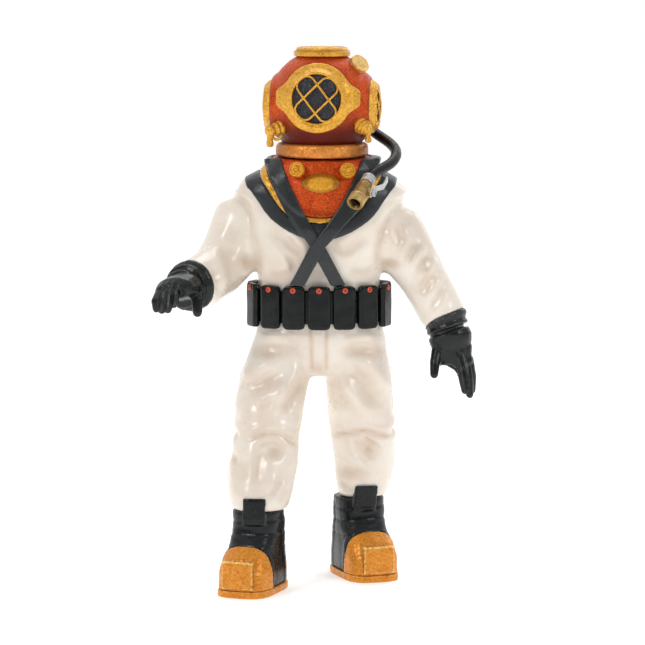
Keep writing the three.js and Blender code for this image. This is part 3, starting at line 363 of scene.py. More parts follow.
class Skin:
    """A fine closed mesh of quads in figure millimetres, which can be smoothed, pressed and painted, with
    brown antiquing and painted shade in its hollows."""

    def __init__(self, at, faces):
        self.at = np.asarray(at, float)
        self.faces = np.asarray(faces, int)
        self.wash_and_shade = np.zeros(len(self.at))
        pairs = np.vstack([self.faces[:, [k, (k + 1) % 4]] for k in range(4)])
        self.edges = np.unique(np.sort(pairs, axis=1), axis=0)
        self.edges = self.edges[self.edges[:, 0] != self.edges[:, 1]]
        self.shown = {}

    def spread(self, values):
        """Each vertex's mean over its neighbours, of one number or of a point."""
        a, b = self.edges.T
        to, of = np.r_[a, b], np.r_[b, a]
        count = np.maximum(np.bincount(to, minlength=len(self.at)), 1)
        if values.ndim == 1:
            return np.bincount(to, values[of], len(self.at)) / count
        return np.stack([np.bincount(to, v[of], len(self.at)) / count for v in values.T], 1)

    def smooth(self, rounds, share=None):
        hold = 0.5 if share is None else 0.5 * share[:, None]
        for _ in range(rounds):
            self.at = self.at + (self.spread(self.at) - self.at) * hold
        return self

    def normals(self):
        corners = self.at[self.faces]
        n = np.cross(corners[:, 2] - corners[:, 0], corners[:, 3] - corners[:, 1])
        total = np.zeros_like(self.at)
        for k in range(4):
            for axis in range(3):
                total[:, axis] += np.bincount(self.faces[:, k], n[:, axis], len(self.at))
        return total / np.maximum(np.linalg.norm(total, axis=1, keepdims=True), 1e-9)

    def seen(self, view):
        """How much each vertex faces a side and is open to it, from 0 to 1."""
        if view not in self.shown:
            toward = VIEWS[view][2]
            facing = smoothstep(0.0, 0.45, self.normals() @ toward)
            tree = BVHTree.FromPolygons(self.at.tolist(), self.faces.tolist())
            ray = Vector(toward)
            for i in np.flatnonzero(facing > 0):
                if tree.ray_cast(Vector(self.at[i]) + ray * 2.5, ray)[0] is not None:
                    facing[i] = 0
            self.shown[view] = facing
        return self.shown[view]

    def press(self, amount):
        """Moves each vertex out along its normal by an amount of its own."""
        self.at = self.at + self.normals() * amount[:, None]

    def fold(self, line, depth, width, step=0.0, wash_and_shade=0.6, ridge=0.3, view="front", taper=0.3):
        """A valley along a line seen from one side, with a soft ridge on each flank. step lifts what lies
        to the line's left above what lies to its right, as where one roll of cloth hangs over another."""
        u, v, _ = VIEWS[view]
        flat = self.at[:, [u, v]]
        path = sampled(line)
        width, ridge = FOLD_WIDENING * width, RIDGE_GAIN * ridge
        reach = 4 * width
        near = np.all((flat > path.min(0) - reach) & (flat < path.max(0) + reach),
            axis=1) & (self.seen(view) > 0)
        chosen = np.flatnonzero(near)
        q = flat[chosen]
        best = np.full(len(q), 1e9)
        side = np.zeros(len(q))
        along = np.zeros(len(q))
        spans = len(path) - 1
        for k in range(spans):
            a, b = path[k], path[k + 1]
            run = b - a
            t = np.clip(((q - a) @ run) / max(run @ run, 1e-9), 0, 1)
            off = q - a - t[:, None] * run
            gap = np.hypot(*off.T)
            closer = gap < best
            best[closer] = gap[closer]
            side[closer] = np.sign(run[0] * off[closer, 1] - run[1] * off[closer, 0])
            along[closer] = (k + t[closer]) / spans
        fade = smoothstep(-0.08, taper, along) * smoothstep(-0.08, taper, 1 - along) if taper else 1.0
        shape = -depth * np.exp(-((best / width) ** 2))
        shape += ridge * depth * np.exp(-(((best - 1.9 * width) / width) ** 2))
        shape += step * np.tanh(side * best / (0.35 * width)) * np.exp(-((best / (2 * width)) ** 2))
        amount = np.zeros(len(self.at))
        amount[chosen] = shape * fade * self.seen(view)[chosen]
        self.press(amount)
        # the valley also goes into the hollow paint mask: on the suit partly brown antiquing, partly painted
        # shade
        painted = np.zeros(len(self.at))
        painted[chosen] = (0.85 * wash_and_shade * np.exp(-((best / (1.5 * width)) ** 2)) * fade
                           * self.seen(view)[chosen])
        self.wash_and_shade = np.maximum(self.wash_and_shade, painted)

    def dent(self, middle, radii, depth, turn=0.0, wash_and_shade=0.4, view="front"):
        """A hollow, or with a negative depth a swelling, with an oval outline turned by some degrees."""
        u, v, _ = VIEWS[view]
        off = self.at[:, [u, v]] - np.array(middle, float)
        c, s = math.cos(math.radians(turn)), math.sin(math.radians(turn))
        across = (off[:, 0] * c + off[:, 1] * s) / radii[0]
        up = (-off[:, 0] * s + off[:, 1] * c) / radii[1]
        share = np.exp(-((across**2 + up**2) ** 1.3)) * self.seen(view)
        self.press(-depth * share)
        # the hollow also goes into the hollow paint mask: partly brown antiquing, partly painted shade
        self.wash_and_shade = np.maximum(self.wash_and_shade, wash_and_shade * share)

    def roughen(self, size, height, seed=0.0):
        """Gentle unevenness, as a hand-finished casting has."""
        shift = Vector((seed, 0.37 * seed, 1.7 * seed))
        lumps = np.array([noise.noise(Vector(p) / size + shift) for p in self.at])
        self.press(lumps * height)

    def settle(self, rounds, hollow, edge):
        """Hollow and edge masks from the shape: hollows take antiquing, dust and painted shade; edges take
        rub marks and painted highlight.
        """
        broad = Skin.__new__(Skin)
        broad.at, broad.edges = self.at, self.edges
        broad.smooth(rounds)
        bend = np.einsum("ij,ij->i", broad.at - self.at, self.normals())
        # hollows: partly brown antiquing, partly painted shade
        self.wash_and_shade = np.clip(self.wash_and_shade + smoothstep(0.15, 1.0, bend / hollow), 0, 1)
        # convex edges: partly rub marks, partly painted highlight
        self.wear_and_highlight = smoothstep(0.25, 1.0, -bend / edge)
        return self


def cad_shell(*nodes, swell=0.0):
    """The points and triangles of CAD nodes in figure millimetres, with each surface swollen a little."""
    points, faces = [], []
    for name in nodes:
        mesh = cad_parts[name].data
        raw = figure_mm([v.co for v in mesh.vertices])
        _, first, same = np.unique(np.round(raw, 3), axis=0, return_index=True, return_inverse=True)
        same = same.ravel()
        mesh.calc_loop_triangles()
        tris = same[np.array([t.vertices for t in mesh.loop_triangles])]
        tris = tris[(tris[:, 0] != tris[:, 1]) & (tris[:, 1] != tris[:, 2]) & (tris[:, 0] != tris[:, 2])]
        at = raw[first]
        if swell:
            a, b, c = (at[tris[:, k]] for k in range(3))
            n = np.cross(b - a, c - a)
            n /= np.maximum(np.linalg.norm(n, axis=1, keepdims=True), 1e-9)
            total = np.zeros_like(at)
            for k in range(3):
                np.add.at(total, tris[:, k], n)
            at = at + swell * total / np.maximum(np.linalg.norm(total, axis=1, keepdims=True), 1e-9)
        faces.append(tris + sum(len(p) for p in points))
        points.append(at)
    return np.vstack(points), np.vstack(faces)


def plain_mesh(at, faces):
    mesh = bpy.data.meshes.new("working")
    mesh.from_pydata(np.asarray(at).tolist(), [], [list(map(int, f)) for f in faces])
    mesh.update()
    return mesh


def fused(shells, voxel):
    """Closed shells melted into one even skin of small quads."""
    points, faces = [], []
    for at, polygons in shells:
        start = sum(len(p) for p in points)
        points.append(np.asarray(at, float))
        faces += [[int(i) + start for i in f] for f in polygons]
    obj = bpy.data.objects.new("working", plain_mesh(np.vstack(points), faces))
    bpy.context.scene.collection.objects.link(obj)
    remesh = obj.modifiers.new("skin", "REMESH")
    remesh.mode = "VOXEL"
    remesh.voxel_size = voxel
    graph = bpy.context.evaluated_depsgraph_get()
    made = bpy.data.meshes.new_from_object(obj.evaluated_get(graph))
    at = np.zeros(len(made.vertices) * 3)
    made.vertices.foreach_get("co", at)
    quads = [list(f.vertices) for f in made.polygons]
    quads = [q if len(q) == 4 else [*q, q[-1]] for q in quads]
    bpy.data.objects.remove(obj)
    return Skin(at.reshape(-1, 3), quads)


def node_skin(*nodes, voxel=1.0, swell=0.0):
    return fused([cad_shell(*nodes, swell=swell)], voxel)


def show(name, at, faces, material, replaces=(), body="diver", wash_and_light_masks=None, sharp=None):
    """Makes a piece from figure millimetres, with its paint attributes, and puts it on its body."""
    mesh = bpy.data.meshes.new(name)
    polygons = [list(dict.fromkeys(map(int, f))) for f in faces]
    mesh.from_pydata(metres(at).tolist(), [], polygons)
    for key, values in (wash_and_light_masks or {}).items():
        attribute = mesh.attributes.new(key, "FLOAT", "POINT")
        attribute.data.foreach_set("value", np.asarray(values, np.float32))
    mesh.polygons.foreach_set("use_smooth", np.ones(len(mesh.polygons), bool))
    if sharp:
        mesh.set_sharp_from_angle(angle=math.radians(sharp))
    mesh.update()
    obj = bpy.data.objects.new(name, mesh)
    bpy.context.scene.collection.objects.link(obj)
    mesh.materials.append(material)
    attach(obj, body)
    if replaces:
        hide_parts(*replaces)
    return obj


def show_skin(name, skin, material, replaces=(), rounds=10, hollow=0.5, edge=0.5):
    skin.settle(rounds, hollow, edge)
    return show(name, skin.at, skin.faces, material, replaces,
        wash_and_light_masks={"wash_and_shade": skin.wash_and_shade, "wear_and_highlight": skin.wear_and_highlight})


def along(at, direction, sideways=(1, 0, 0)):
    """A matrix that puts +Z along a direction at a point, with +X as near as it can be to sideways."""
    z = Vector(direction).normalized()
    x = (Vector(sideways) - Vector(sideways).dot(z) * z).normalized()
    y = z.cross(x)
    return np.array(Matrix((x, y, z)).transposed().to_4x4()), np.array(at, float)


def carried(points, place):
    turn, at = place
    return np.asarray(points, float) @ turn[:3, :3].T + at


def lathe(profile, segments=64, place=None, steps=0):
    """A closed turned shell from [radius, height] pairs, which start and end on the axis."""
    p = sampled(profile, steps) if steps else np.asarray(profile, float)
    p[:, 0] = np.maximum(p[:, 0], 0)
    angle = np.arange(segments) * 2 * math.pi / segments
    rings = p[1:-1]
    round_and_round = np.stack([np.outer(rings[:, 0], np.cos(angle)), np.outer(rings[:, 0], np.sin(angle)),
                                np.repeat(rings[:, 1:], segments, 1)], 2)
    at, faces = capped(round_and_round, [0, 0, p[0, 1]], [0, 0, p[-1, 1]])
    return (carried(at, place) if place else at), faces


def capped(rings, first, last):
    """A closed shell from rings of points, with a fan of faces to a point at each end."""
    count, segments = rings.shape[:2]
    at = np.vstack([rings.reshape(-1, 3), first, last])
    faces = grid_faces(count, segments)
    for k in range(segments):
        following = (k + 1) % segments
        faces.append([len(at) - 2, following, k])
        faces.append([len(at) - 1, (count - 1) * segments + k, (count - 1) * segments + following])
    return at, faces


def grid_faces(rows, columns, closed_rows=False):
    """Quads of a sheet of rows that each close on themselves."""
    faces = []
    for i in range(rows if closed_rows else rows - 1):
        for k in range(columns):
            following, above = (k + 1) % columns, (i + 1) % rows
            faces.append([i * columns + k, i * columns + following, above * columns + following,
                above * columns + k])
    return faces


def tube(line, radius, sides=10, closed=True):
    """A round bar along a line of points."""
    line = np.asarray(line, float)
    ahead = np.roll(line, -1, 0) if closed else np.vstack([line[1:], 2 * line[-1] - line[-2]])
    behind = np.roll(line, 1, 0) if closed else np.vstack([2 * line[0] - line[1], line[:-1]])
    tangent = ahead - behind
    tangent /= np.linalg.norm(tangent, axis=1, keepdims=True)
    reference = line - line.mean(0) + np.array([0.01, 0.02, 0.03])
    u = reference - np.einsum("ij,ij->i", reference, tangent)[:, None] * tangent
    u /= np.linalg.norm(u, axis=1, keepdims=True)
    v = np.cross(tangent, u)
    angle = np.arange(sides) * 2 * math.pi / sides
    at = (line[:, None] + radius * (np.cos(angle)[None, :, None] * u[:, None] + np.sin(angle)[None, :,
        None] * v[:, None]))
    at = at.reshape(-1, 3)
    faces = grid_faces(len(line), sides, closed_rows=closed)
    if not closed:
        faces.append(list(range(sides))[::-1])
        faces.append(list(range((len(line) - 1) * sides, len(line) * sides)))
    return at, faces


# ---------------------------------------------------------------- suit
class Easing:
    """How far the suit's smoothed skin lies from its faceted one. What is laid over the suit moves by the
    same."""

    def __init__(self, raw, eased):
        self.moves = eased - raw
        self.tree = KDTree(len(raw))
        for i, p in enumerate(raw):
            self.tree.insert(p, i)
        self.tree.balance()

    def ease(self, skin):
        out = np.zeros_like(skin.at)
        for i, p in enumerate(skin.at):
            found = self.tree.find_n(p, 6)
            weights = np.array([1 / (f[2] + 1.0) for f in found])
            out[i] = weights @ self.moves[[f[1] for f in found]] / weights.sum()
        skin.at = skin.at + out
        return skin


def suit_top(paint):
    skin = node_skin("jacket", "right_sleeve", "left_sleeve", voxel=1.5, swell=0.35)
    raw = skin.at.copy()
    skin.smooth(40)
    easing = Easing(raw, skin.at)
    skin.roughen(34, 0.9, 3)
    # armholes, where the jacket's shoulder stands a little over the sleeve
    skin.fold([(-103, 442), (-92, 434), (-80, 424), (-74, 402), (-68, 366), (-67, 350)], 1.2, 3.0, step=1.3,
        wash_and_shade=0.4, taper=0.12)
    skin.fold([(101, 433), (90, 425), (80, 417), (70, 400), (64, 373), (66, 354)], 1.2, 3.0, step=-1.3,
        wash_and_shade=0.4, taper=0.12)
    skin.fold([(-36, 437), (0, 443), (36, 437)], 1.0, 2.6, step=1.3, wash_and_shade=0.3, view="right")
    skin.fold([(-36, 428), (0, 434), (36, 428)], 1.0, 2.6, step=1.3, wash_and_shade=0.3, view="left")
    # chest: long soft folds that run from the collar to the straps
    skin.fold([(-58, 403), (-44, 388), (-30, 372), (-24, 352)], 2.0, 5.0, wash_and_shade=0.5, ridge=0.8)
    skin.fold([(-40, 392), (-28, 380), (-17, 369)], 1.8, 3.5, wash_and_shade=0.65, ridge=0.6)
    skin.fold([(-38, 374), (-31, 361), (-29, 348)], 1.5, 3.0, wash_and_shade=0.6)
    skin.fold([(52, 392), (36, 380), (20, 371)], 1.5, 4.5, wash_and_shade=0.4, ridge=0.6)
    skin.fold([(12, 383), (20, 376), (27, 369)], 1.3, 2.6, wash_and_shade=0.5)
    skin.fold([(30, 352), (44, 349), (60, 350)], 1.4, 4.0, wash_and_shade=0.5)
    skin.fold([(-60, 349), (-46, 346), (-30, 347)], 1.4, 4.0, wash_and_shade=0.5)
    skin.dent((-3, 349), (16, 6), 1.2, wash_and_shade=0.45)
    # right sleeve
    skin.dent((-82, 361), (12, 9), 3.2, turn=-25, wash_and_shade=0.75)
    skin.fold([(-106, 382), (-102, 368), (-97, 352), (-94, 336)], 2.4, 5.0, wash_and_shade=0.55, ridge=0.5)
    skin.fold([(-121, 358), (-116, 346), (-113, 332)], 1.8, 4.0, wash_and_shade=0.5, ridge=0.5)
    skin.fold([(-88, 402), (-96, 390), (-100, 378)], 1.2, 5.0, wash_and_shade=0.3)
    skin.fold([(-132, 352), (-128, 340), (-126, 326)], 1.4, 3.4, wash_and_shade=0.45, ridge=0.5)
    skin.fold([(-80, 345), (-92, 336), (-104, 326)], 1.6, 4.0, wash_and_shade=0.6)
    # left sleeve
    skin.dent((77, 357), (12, 7), 3.0, turn=10, wash_and_shade=0.75)
    skin.fold([(83, 400), (87, 389), (92, 379)], 1.9, 3.6, wash_and_shade=0.5, ridge=0.7)
    skin.fold([(106, 384), (101, 372), (95, 361)], 2.3, 4.2, wash_and_shade=0.55, ridge=0.7)
    skin.fold([(121, 370), (114, 360), (106, 349)], 2.3, 4.0, wash_and_shade=0.55, ridge=0.7)
    skin.fold([(112, 366), (119, 351), (113, 336), (103, 326)], 2.0, 3.8, wash_and_shade=0.6, ridge=0.4)
    skin.fold([(128, 350), (121, 338), (111, 322)], 1.9, 3.6, wash_and_shade=0.5, ridge=0.6)
    skin.fold([(138, 336), (131, 322), (121, 308)], 1.5, 3.2, wash_and_shade=0.45, ridge=0.5)
    # back: armholes and two long folds from the shoulder blades to the belt
    skin.fold([(-90, 428), (-76, 408), (-68, 384), (-68, 352)], 1.5, 3.4, step=0.8, view="back", taper=0.15)
    skin.fold([(92, 420), (77, 404), (68, 384), (68, 352)], 1.5, 3.4, step=-0.8, view="back", taper=0.15)
    skin.fold([(-46, 404), (-36, 380), (-40, 352)], 2.0, 6.0, wash_and_shade=0.45, ridge=0.6, view="back")
    skin.fold([(48, 400), (38, 376), (40, 350)], 2.0, 6.0, wash_and_shade=0.45, ridge=0.6, view="back")
    skin.fold([(-104, 384), (-98, 366), (-106, 348)], 2.2, 4.6, wash_and_shade=0.5, ridge=0.5, view="back")
    skin.fold([(106, 376), (100, 358), (110, 338)], 2.2, 4.6, wash_and_shade=0.5, ridge=0.5, view="back")
    skin.fold([(120, 352), (116, 338), (124, 322)], 1.8, 4.0, wash_and_shade=0.5, ridge=0.5, view="back")
    skin.smooth(2)
    show_skin("suit_top", skin, paint, ("jacket", "right_sleeve", "left_sleeve"), 12, 2.4, 1.4)
    return easing, skin


def suit_trousers(paint):
    skin = node_skin("right_trouser_leg", "left_trouser_leg", voxel=1.5, swell=0.35)
    skin.smooth(36)
    skin.roughen(32, 0.9, 11)
    # fly
    for x, side in ((-9.5, 1), (7, -1)):
        skin.fold([(x, 300), (x, 262), (x + 0.5 * side, 240)], 1.7, 1.5, wash_and_shade=0.75, ridge=0.15, taper=0.08)
    skin.fold([(-9, 250), (-1, 248), (7, 250)], 0.8, 3.0, wash_and_shade=0.35)
    skin.dent((-1.5, 243), (7, 6), 0.6, wash_and_shade=0.5)
    # hip hollows below the belt
    skin.dent((-54, 264), (20, 9), 4.2, turn=6, wash_and_shade=0.65)
    skin.fold([(-70, 271), (-52, 274), (-35, 271)], 0.8, 4.0, step=0.6, wash_and_shade=0.3)
    skin.dent((47, 262), (21, 8), 4.6, turn=-3, wash_and_shade=0.65)
    skin.fold([(25, 268), (45, 271), (68, 269)], 0.9, 2.6, step=0.9, wash_and_shade=0.45)
    # right thigh
    skin.fold([(-42, 239), (-61, 229), (-80, 217)], 4.2, 6.5, wash_and_shade=0.6, ridge=0.7)
    skin.fold([(-50, 212), (-69, 204)], 1.7, 6.0, wash_and_shade=0.4)
    skin.fold([(-12, 240), (-25, 222), (-34, 208), (-36, 192)], 3.6, 5.4, step=-0.8, wash_and_shade=0.65, ridge=0.6)
    skin.dent((-22, 206), (6, 20), 1.4, turn=-20, wash_and_shade=0.35)
    # left thigh
    skin.fold([(25, 244), (42, 232), (56, 215), (73, 198)], 5.2, 7.6, wash_and_shade=0.65, ridge=0.5)
    skin.fold([(12, 234), (22, 212), (36, 195)], 2.2, 5.5, wash_and_shade=0.5, ridge=0.4)
    # right knee and shin
    skin.fold([(-79, 170), (-64, 175), (-50, 176), (-38, 171), (-24, 161)], 2.0, 2.8, step=1.3, wash_and_shade=0.75,
        taper=0.15)
    skin.fold([(-72, 160), (-62, 166), (-49, 168), (-40, 162), (-42, 152)], 1.6, 2.6, step=0.8, wash_and_shade=0.45)
    skin.dent((-50, 156), (10, 9), 4.6, wash_and_shade=0.7)
    skin.fold([(-61, 160), (-67, 141), (-69, 118)], 2.4, 5.0, step=0.6, wash_and_shade=0.5, ridge=0.4)
    skin.fold([(-84, 148), (-85, 122)], 1.8, 5.5, wash_and_shade=0.35, ridge=0.4)
    skin.dent((-95, 145), (4.5, 6), 2.6, wash_and_shade=0.65)
    skin.fold([(-42, 128), (-48, 116), (-58, 106)], 1.6, 3.2, wash_and_shade=0.45, ridge=0.6)
    skin.fold([(-36, 118), (-42, 108), (-46, 100)], 1.2, 2.6, wash_and_shade=0.4, ridge=0.6)
    # left knee and shin
    skin.fold([(11, 167), (30, 168), (50, 171), (65, 167), (80, 167)], 2.0, 2.8, step=1.3, wash_and_shade=0.7,
        taper=0.15)
    skin.dent((54, 149), (11, 15), 5.4, turn=32, wash_and_shade=0.75)
    skin.fold([(38, 164), (44, 145), (56, 126)], 0.9, 2.2, step=0.9, wash_and_shade=0.3, ridge=0.9)
    skin.fold([(43, 166), (58, 156), (72, 143)], 0.9, 2.2, step=-0.9, wash_and_shade=0.3, ridge=0.9)
    skin.dent((33, 120), (18, 9), 3.6, turn=-14, wash_and_shade=0.6)
    skin.fold([(24, 112), (31, 105), (40, 98)], 1.4, 2.8, step=0.6, wash_and_shade=0.4, ridge=0.6)
    # backs of the legs: seat, knee hollows and calves
    skin.fold([(-2, 300), (-2, 270), (-2, 236)], 2.0, 2.6, wash_and_shade=0.6, view="back", taper=0.1)
    skin.fold([(-10, 250), (-30, 242), (-52, 246)], 2.4, 4.0, step=-0.8, wash_and_shade=0.55, view="back")
    skin.fold([(6, 250), (26, 242), (48, 246)], 2.4, 4.0, step=-0.8, wash_and_shade=0.55, view="back")
    for x in (-60, 50):
        skin.fold([(x - 20, 176), (x, 170), (x + 20, 177)], 3.0, 4.2, step=-0.9, wash_and_shade=0.6, view="back")
        skin.fold([(x - 16, 162), (x + 2, 157), (x + 18, 163)], 2.2, 3.6, wash_and_shade=0.5, view="back")
        skin.fold([(x - 12, 140), (x - 6, 122), (x - 10, 104)], 1.8, 4.5, wash_and_shade=0.4, view="back", ridge=0.5)
        skin.fold([(x + 12, 214), (x + 4, 200), (x + 10, 186)], 1.8, 4.8, wash_and_shade=0.4, view="back", ridge=0.5)
    # outer sides
    skin.fold([(-30, 236), (-20, 214), (-26, 190)], 2.2, 5.5, wash_and_shade=0.45, view="right", ridge=0.5)
    skin.fold([(-66, 168), (-44, 172), (-22, 168)], 2.4, 3.6, step=-0.8, wash_and_shade=0.55, view="right")
    skin.fold([(-50, 150), (-42, 128), (-56, 106)], 2.0, 4.6, wash_and_shade=0.45, view="right", ridge=0.5)
    skin.fold([(-14, 238), (0, 216), (-8, 190)], 2.2, 5.5, wash_and_shade=0.45, view="left", ridge=0.5)
    skin.fold([(-20, 168), (4, 172), (28, 168)], 2.4, 3.6, step=0.8, wash_and_shade=0.55, view="left")
    skin.fold([(2, 150), (14, 128), (8, 106)], 2.0, 4.6, wash_and_shade=0.45, view="left", ridge=0.5)
    skin.smooth(2)
    show_skin("suit_trousers", skin, paint, ("right_trouser_leg", "left_trouser_leg"), 12, 2.4, 1.4)


# ---------------------------------------------------------------- gloves
def glove(side, rim, wrist, grooves, paint, arch=None):
    """The gauntlet's rolls run round the arm; the rim is drawn back a little over the sleeve's rounded
    end. grooves part the fingers. arch is the round opening between thumb and fingers, as x, z and
    radius."""
    skin = node_skin(f"{side}_glove", voxel=0.9)
    skin.smooth(7)
    rim, wrist = np.array(rim, float), np.array(wrist, float)
    axis = (wrist - rim) / np.linalg.norm(wrist - rim)
    distance = (skin.at - rim) @ axis
    out = skin.at - rim - distance[:, None] * axis
    around = np.linalg.norm(out, axis=1)
    cuff = smoothstep(21, 15, distance) * smoothstep(12, 16, around)
    rolls = np.cos(2 * math.pi * (distance - 1.5) / 8.4)
    swirl = np.array([noise.noise(Vector(p) / 16) for p in skin.at])
    skin.press(cuff * (1.3 * rolls + 0.6 * swirl))
    skin.wash_and_shade = np.maximum(skin.wash_and_shade, 0.6 * cuff * smoothstep(0.1, -0.9, rolls))
    skin.at = skin.at - axis * (3.2 * smoothstep(5, 0, distance))[:, None]
    skin.press(0.5 * (1 - cuff))
    if arch:
        off = skin.at[:, [0, 2]] - np.array(arch[:2])
        gap = np.maximum(np.linalg.norm(off, axis=1), 0.3)
        skin.at[:, [0, 2]] += off / gap[:, None] * np.maximum(arch[2] - gap, 0)[:, None]
        skin.smooth(2)
    for line in grooves:
        skin.fold(line, 1.3, 1.5, wash_and_shade=0.4, ridge=0.5)
    skin.roughen(12, 0.35, 5)
    show_skin(f"{side}_glove_skin", skin, paint, (f"{side}_glove",), 6, 0.45, 0.5)


# ---------------------------------------------------------------- boots
def boot(side, toe, yaw, black, gold):
    """toe is where the middle of the toe stands, and yaw is the boot's turn about its heel, which sets the
    directions across and along it.
    """
    turn = math.radians(yaw)
    forward = np.array([math.sin(turn), -math.cos(turn)])
    across = np.array([math.cos(turn), math.sin(turn)])

    def local(at):
        off = at[:, :2] - np.array(toe, float)
        return off @ across, -(off @ forward), at[:, 2]

    upper = node_skin(f"{side}_boot", voxel=1.1)
    upper.smooth(7)
    x, back, z = local(upper.at)
    # two straps round the ankle, a counter round the heel, and the seam of the vamp above the toe cap
    level = z - 0.05 * x
    straps = (smoothstep(78.5, 77, level) * smoothstep(66.5, 68, level)
              + smoothstep(63, 61.5, level) * smoothstep(50, 52, level))
    skinny = smoothstep(84, 80, z)
    vamp = smoothstep(24, 27, back) * smoothstep(37, 34, back) * smoothstep(50, 44, z) * 0.8
    upper.press(0.45 * straps * skinny + vamp)
    grooves = [np.exp(-(((level - h) / 1.6) ** 2)) for h in (79, 65, 50)]
    upper.press(-0.3 * sum(grooves) * skinny)
    wrinkle = np.array([noise.noise(Vector((p[0] / 34, p[1] / 34, p[2] / 12))) for p in upper.at])
    upper.press(1.1 * wrinkle * smoothstep(30, 45, z) * smoothstep(88, 70, z))
    counter = smoothstep(66, 70, back) * smoothstep(84, 80, z)
    upper.press(1.0 * counter)
    upper.smooth(3)
    show_skin(f"{side}_boot_skin", upper, black, (f"{side}_boot",), 6, 0.5, 0.5)

    cap = node_skin(f"{side}_toe_cap", voxel=0.9)
    cap.smooth(5)
    x, back, z = local(cap.at)
    plate = (smoothstep(17.8, 16.8, abs(x)) * smoothstep(6, 2, back) * smoothstep(10, 11, z)
             * smoothstep(41.5, 40.5, z))
    cap.press(1.2 * plate)
    rim = (smoothstep(17.2, 16.2, abs(x)) * smoothstep(11.5, 12.5, z) * smoothstep(40, 39, z)
           * smoothstep(6, 2, back))
    frame_line = np.clip(plate - rim, 0, 1)
    cap.wash_and_shade = np.maximum(cap.wash_and_shade, 0.5 * frame_line)
    cap.roughen(3.2, 0.4, 9)
    show_skin(f"{side}_toe_cap_skin", cap, gold, (f"{side}_toe_cap",), 6, 0.45, 0.5)

    sole = node_skin(f"{side}_sole", voxel=0.9)
    sole.smooth(4)
    sole.roughen(6, 0.4, 4)
    sole.at[:, 2] = np.maximum(sole.at[:, 2], 0)
    show_skin(f"{side}_sole_skin", sole, gold, (f"{side}_sole",), 6, 0.45, 0.5)


# ---------------------------------------------------------------- collar, corselet and harness
RIGHT_STRAP = [(-54, 480), (-49, 463), (-43, 448.5), (-29, 420), (-21, 405.6), (-2.7, 379.5), (20.3, 336)]
LEFT_STRAP = [(73, 504), (56, 468), (47, 447), (36, 425), (-2.7, 379.5), (-25.5, 336)]


def laid_over(skin, height, *under):
    """Lifts a strap until its outer side stands a set height over what it lies on."""
    shoulder_z, start_gap, ray_length = 425, 30, 50
    core = skin.at * np.array([0.5, 0, 0]) + np.array([0, 0, 1]) * np.minimum(skin.at[:, 2:], shoulder_z)
    outward = (skin.at - core) / np.linalg.norm(skin.at - core, axis=1)[:, None]
    share = smoothstep(-0.35, 0.35, (skin.normals() * outward).sum(axis=1))
    trees = [BVHTree.FromPolygons(lower.at.tolist(), lower.faces.tolist()) for lower in under]
    lift = np.zeros(len(skin.at))
    for i in np.flatnonzero(share > 0):
        start = Vector(skin.at[i] + start_gap * outward[i])
        for tree in trees:
            distance = tree.ray_cast(start, Vector(-outward[i]), ray_length)[3]
            if distance is not None:
                lift[i] = max(lift[i], start_gap - distance + height)
    lift = skin.spread(skin.spread(lift))
    skin.at = skin.at + (lift * share)[:, None] * outward


def web(line, under, high=476, low=392, half=10):
    """A closed length of flat webbing down the chest, over the corselet and what lies under it."""
    trees = [BVHTree.FromPolygons(lower.at.tolist(), lower.faces.tolist()) for lower in under]
    ray_start, rise, edge_thinning, sunk = -200, 2.9, 0.75, 2.0
    across = np.linspace(-1, 1, 17)
    levels = np.arange(low, high, 1.2)
    front = np.zeros((len(levels), len(across)))
    side = np.zeros_like(front)
    for i, z in enumerate(levels):
        middle = np.interp(z, [p[1] for p in line[::-1]], [p[0] for p in line[::-1]])
        for k, share in enumerate(across):
            side[i, k] = middle + half * share
            start = Vector((side[i, k], ray_start, z))
            hits = [tree.ray_cast(start, Vector((0, 1, 0)))[0] for tree in trees]
            front[i, k] = min([hit.y for hit in hits if hit is not None], default=-20)
    for _ in range(4):
        padded = np.pad(front, 1, mode="edge")
        front = (padded[:-2, 1:-1] + padded[2:, 1:-1] + padded[1:-1, :-2] + padded[1:-1, 2:]) / 4
    outer = front - rise * (1 - edge_thinning * across**8)
    rings = []
    for i, z in enumerate(levels):
        over = [[side[i, k], outer[i, k], z] for k in range(len(across))]
        beneath = [[side[i, k], front[i, k] + sunk, z] for k in reversed(range(len(across)))]
        rings.append(over + beneath)
    rings = np.array(rings)
    return capped(rings, rings[0].mean(axis=0), rings[-1].mean(axis=0))


def strap(side, line, easing, under, paint):
    skin = easing.ease(node_skin(f"{side}_harness_strap", voxel=0.85))
    x, z = skin.at[:, 0], skin.at[:, 2]
    if side == "left":
        middle = np.interp(z, [p[1] for p in line[::-1]], [p[0] for p in line[::-1]])
        skin.at[:, 0] = (middle + (x - middle)
                         * np.interp(z, [380, 405, 425, 450, 475], [1, 1.15, 1.45, 1.45, 1.35]))
    else:
        # Over the corselet the CAD strap is about 0.2 mm thick, which the voxel skin loses.
        skin = fused([(skin.at, skin.faces), web(line, under)], 0.85)
    skin.smooth(3)
    laid_over(skin, 2.6, *under)
    skin.smooth(3)
    skin.roughen(16, 0.25, 1)
    show_skin(f"{side}_strap_skin", skin, paint, (f"{side}_harness_strap",), 5, 0.4, 0.3)
    return skin


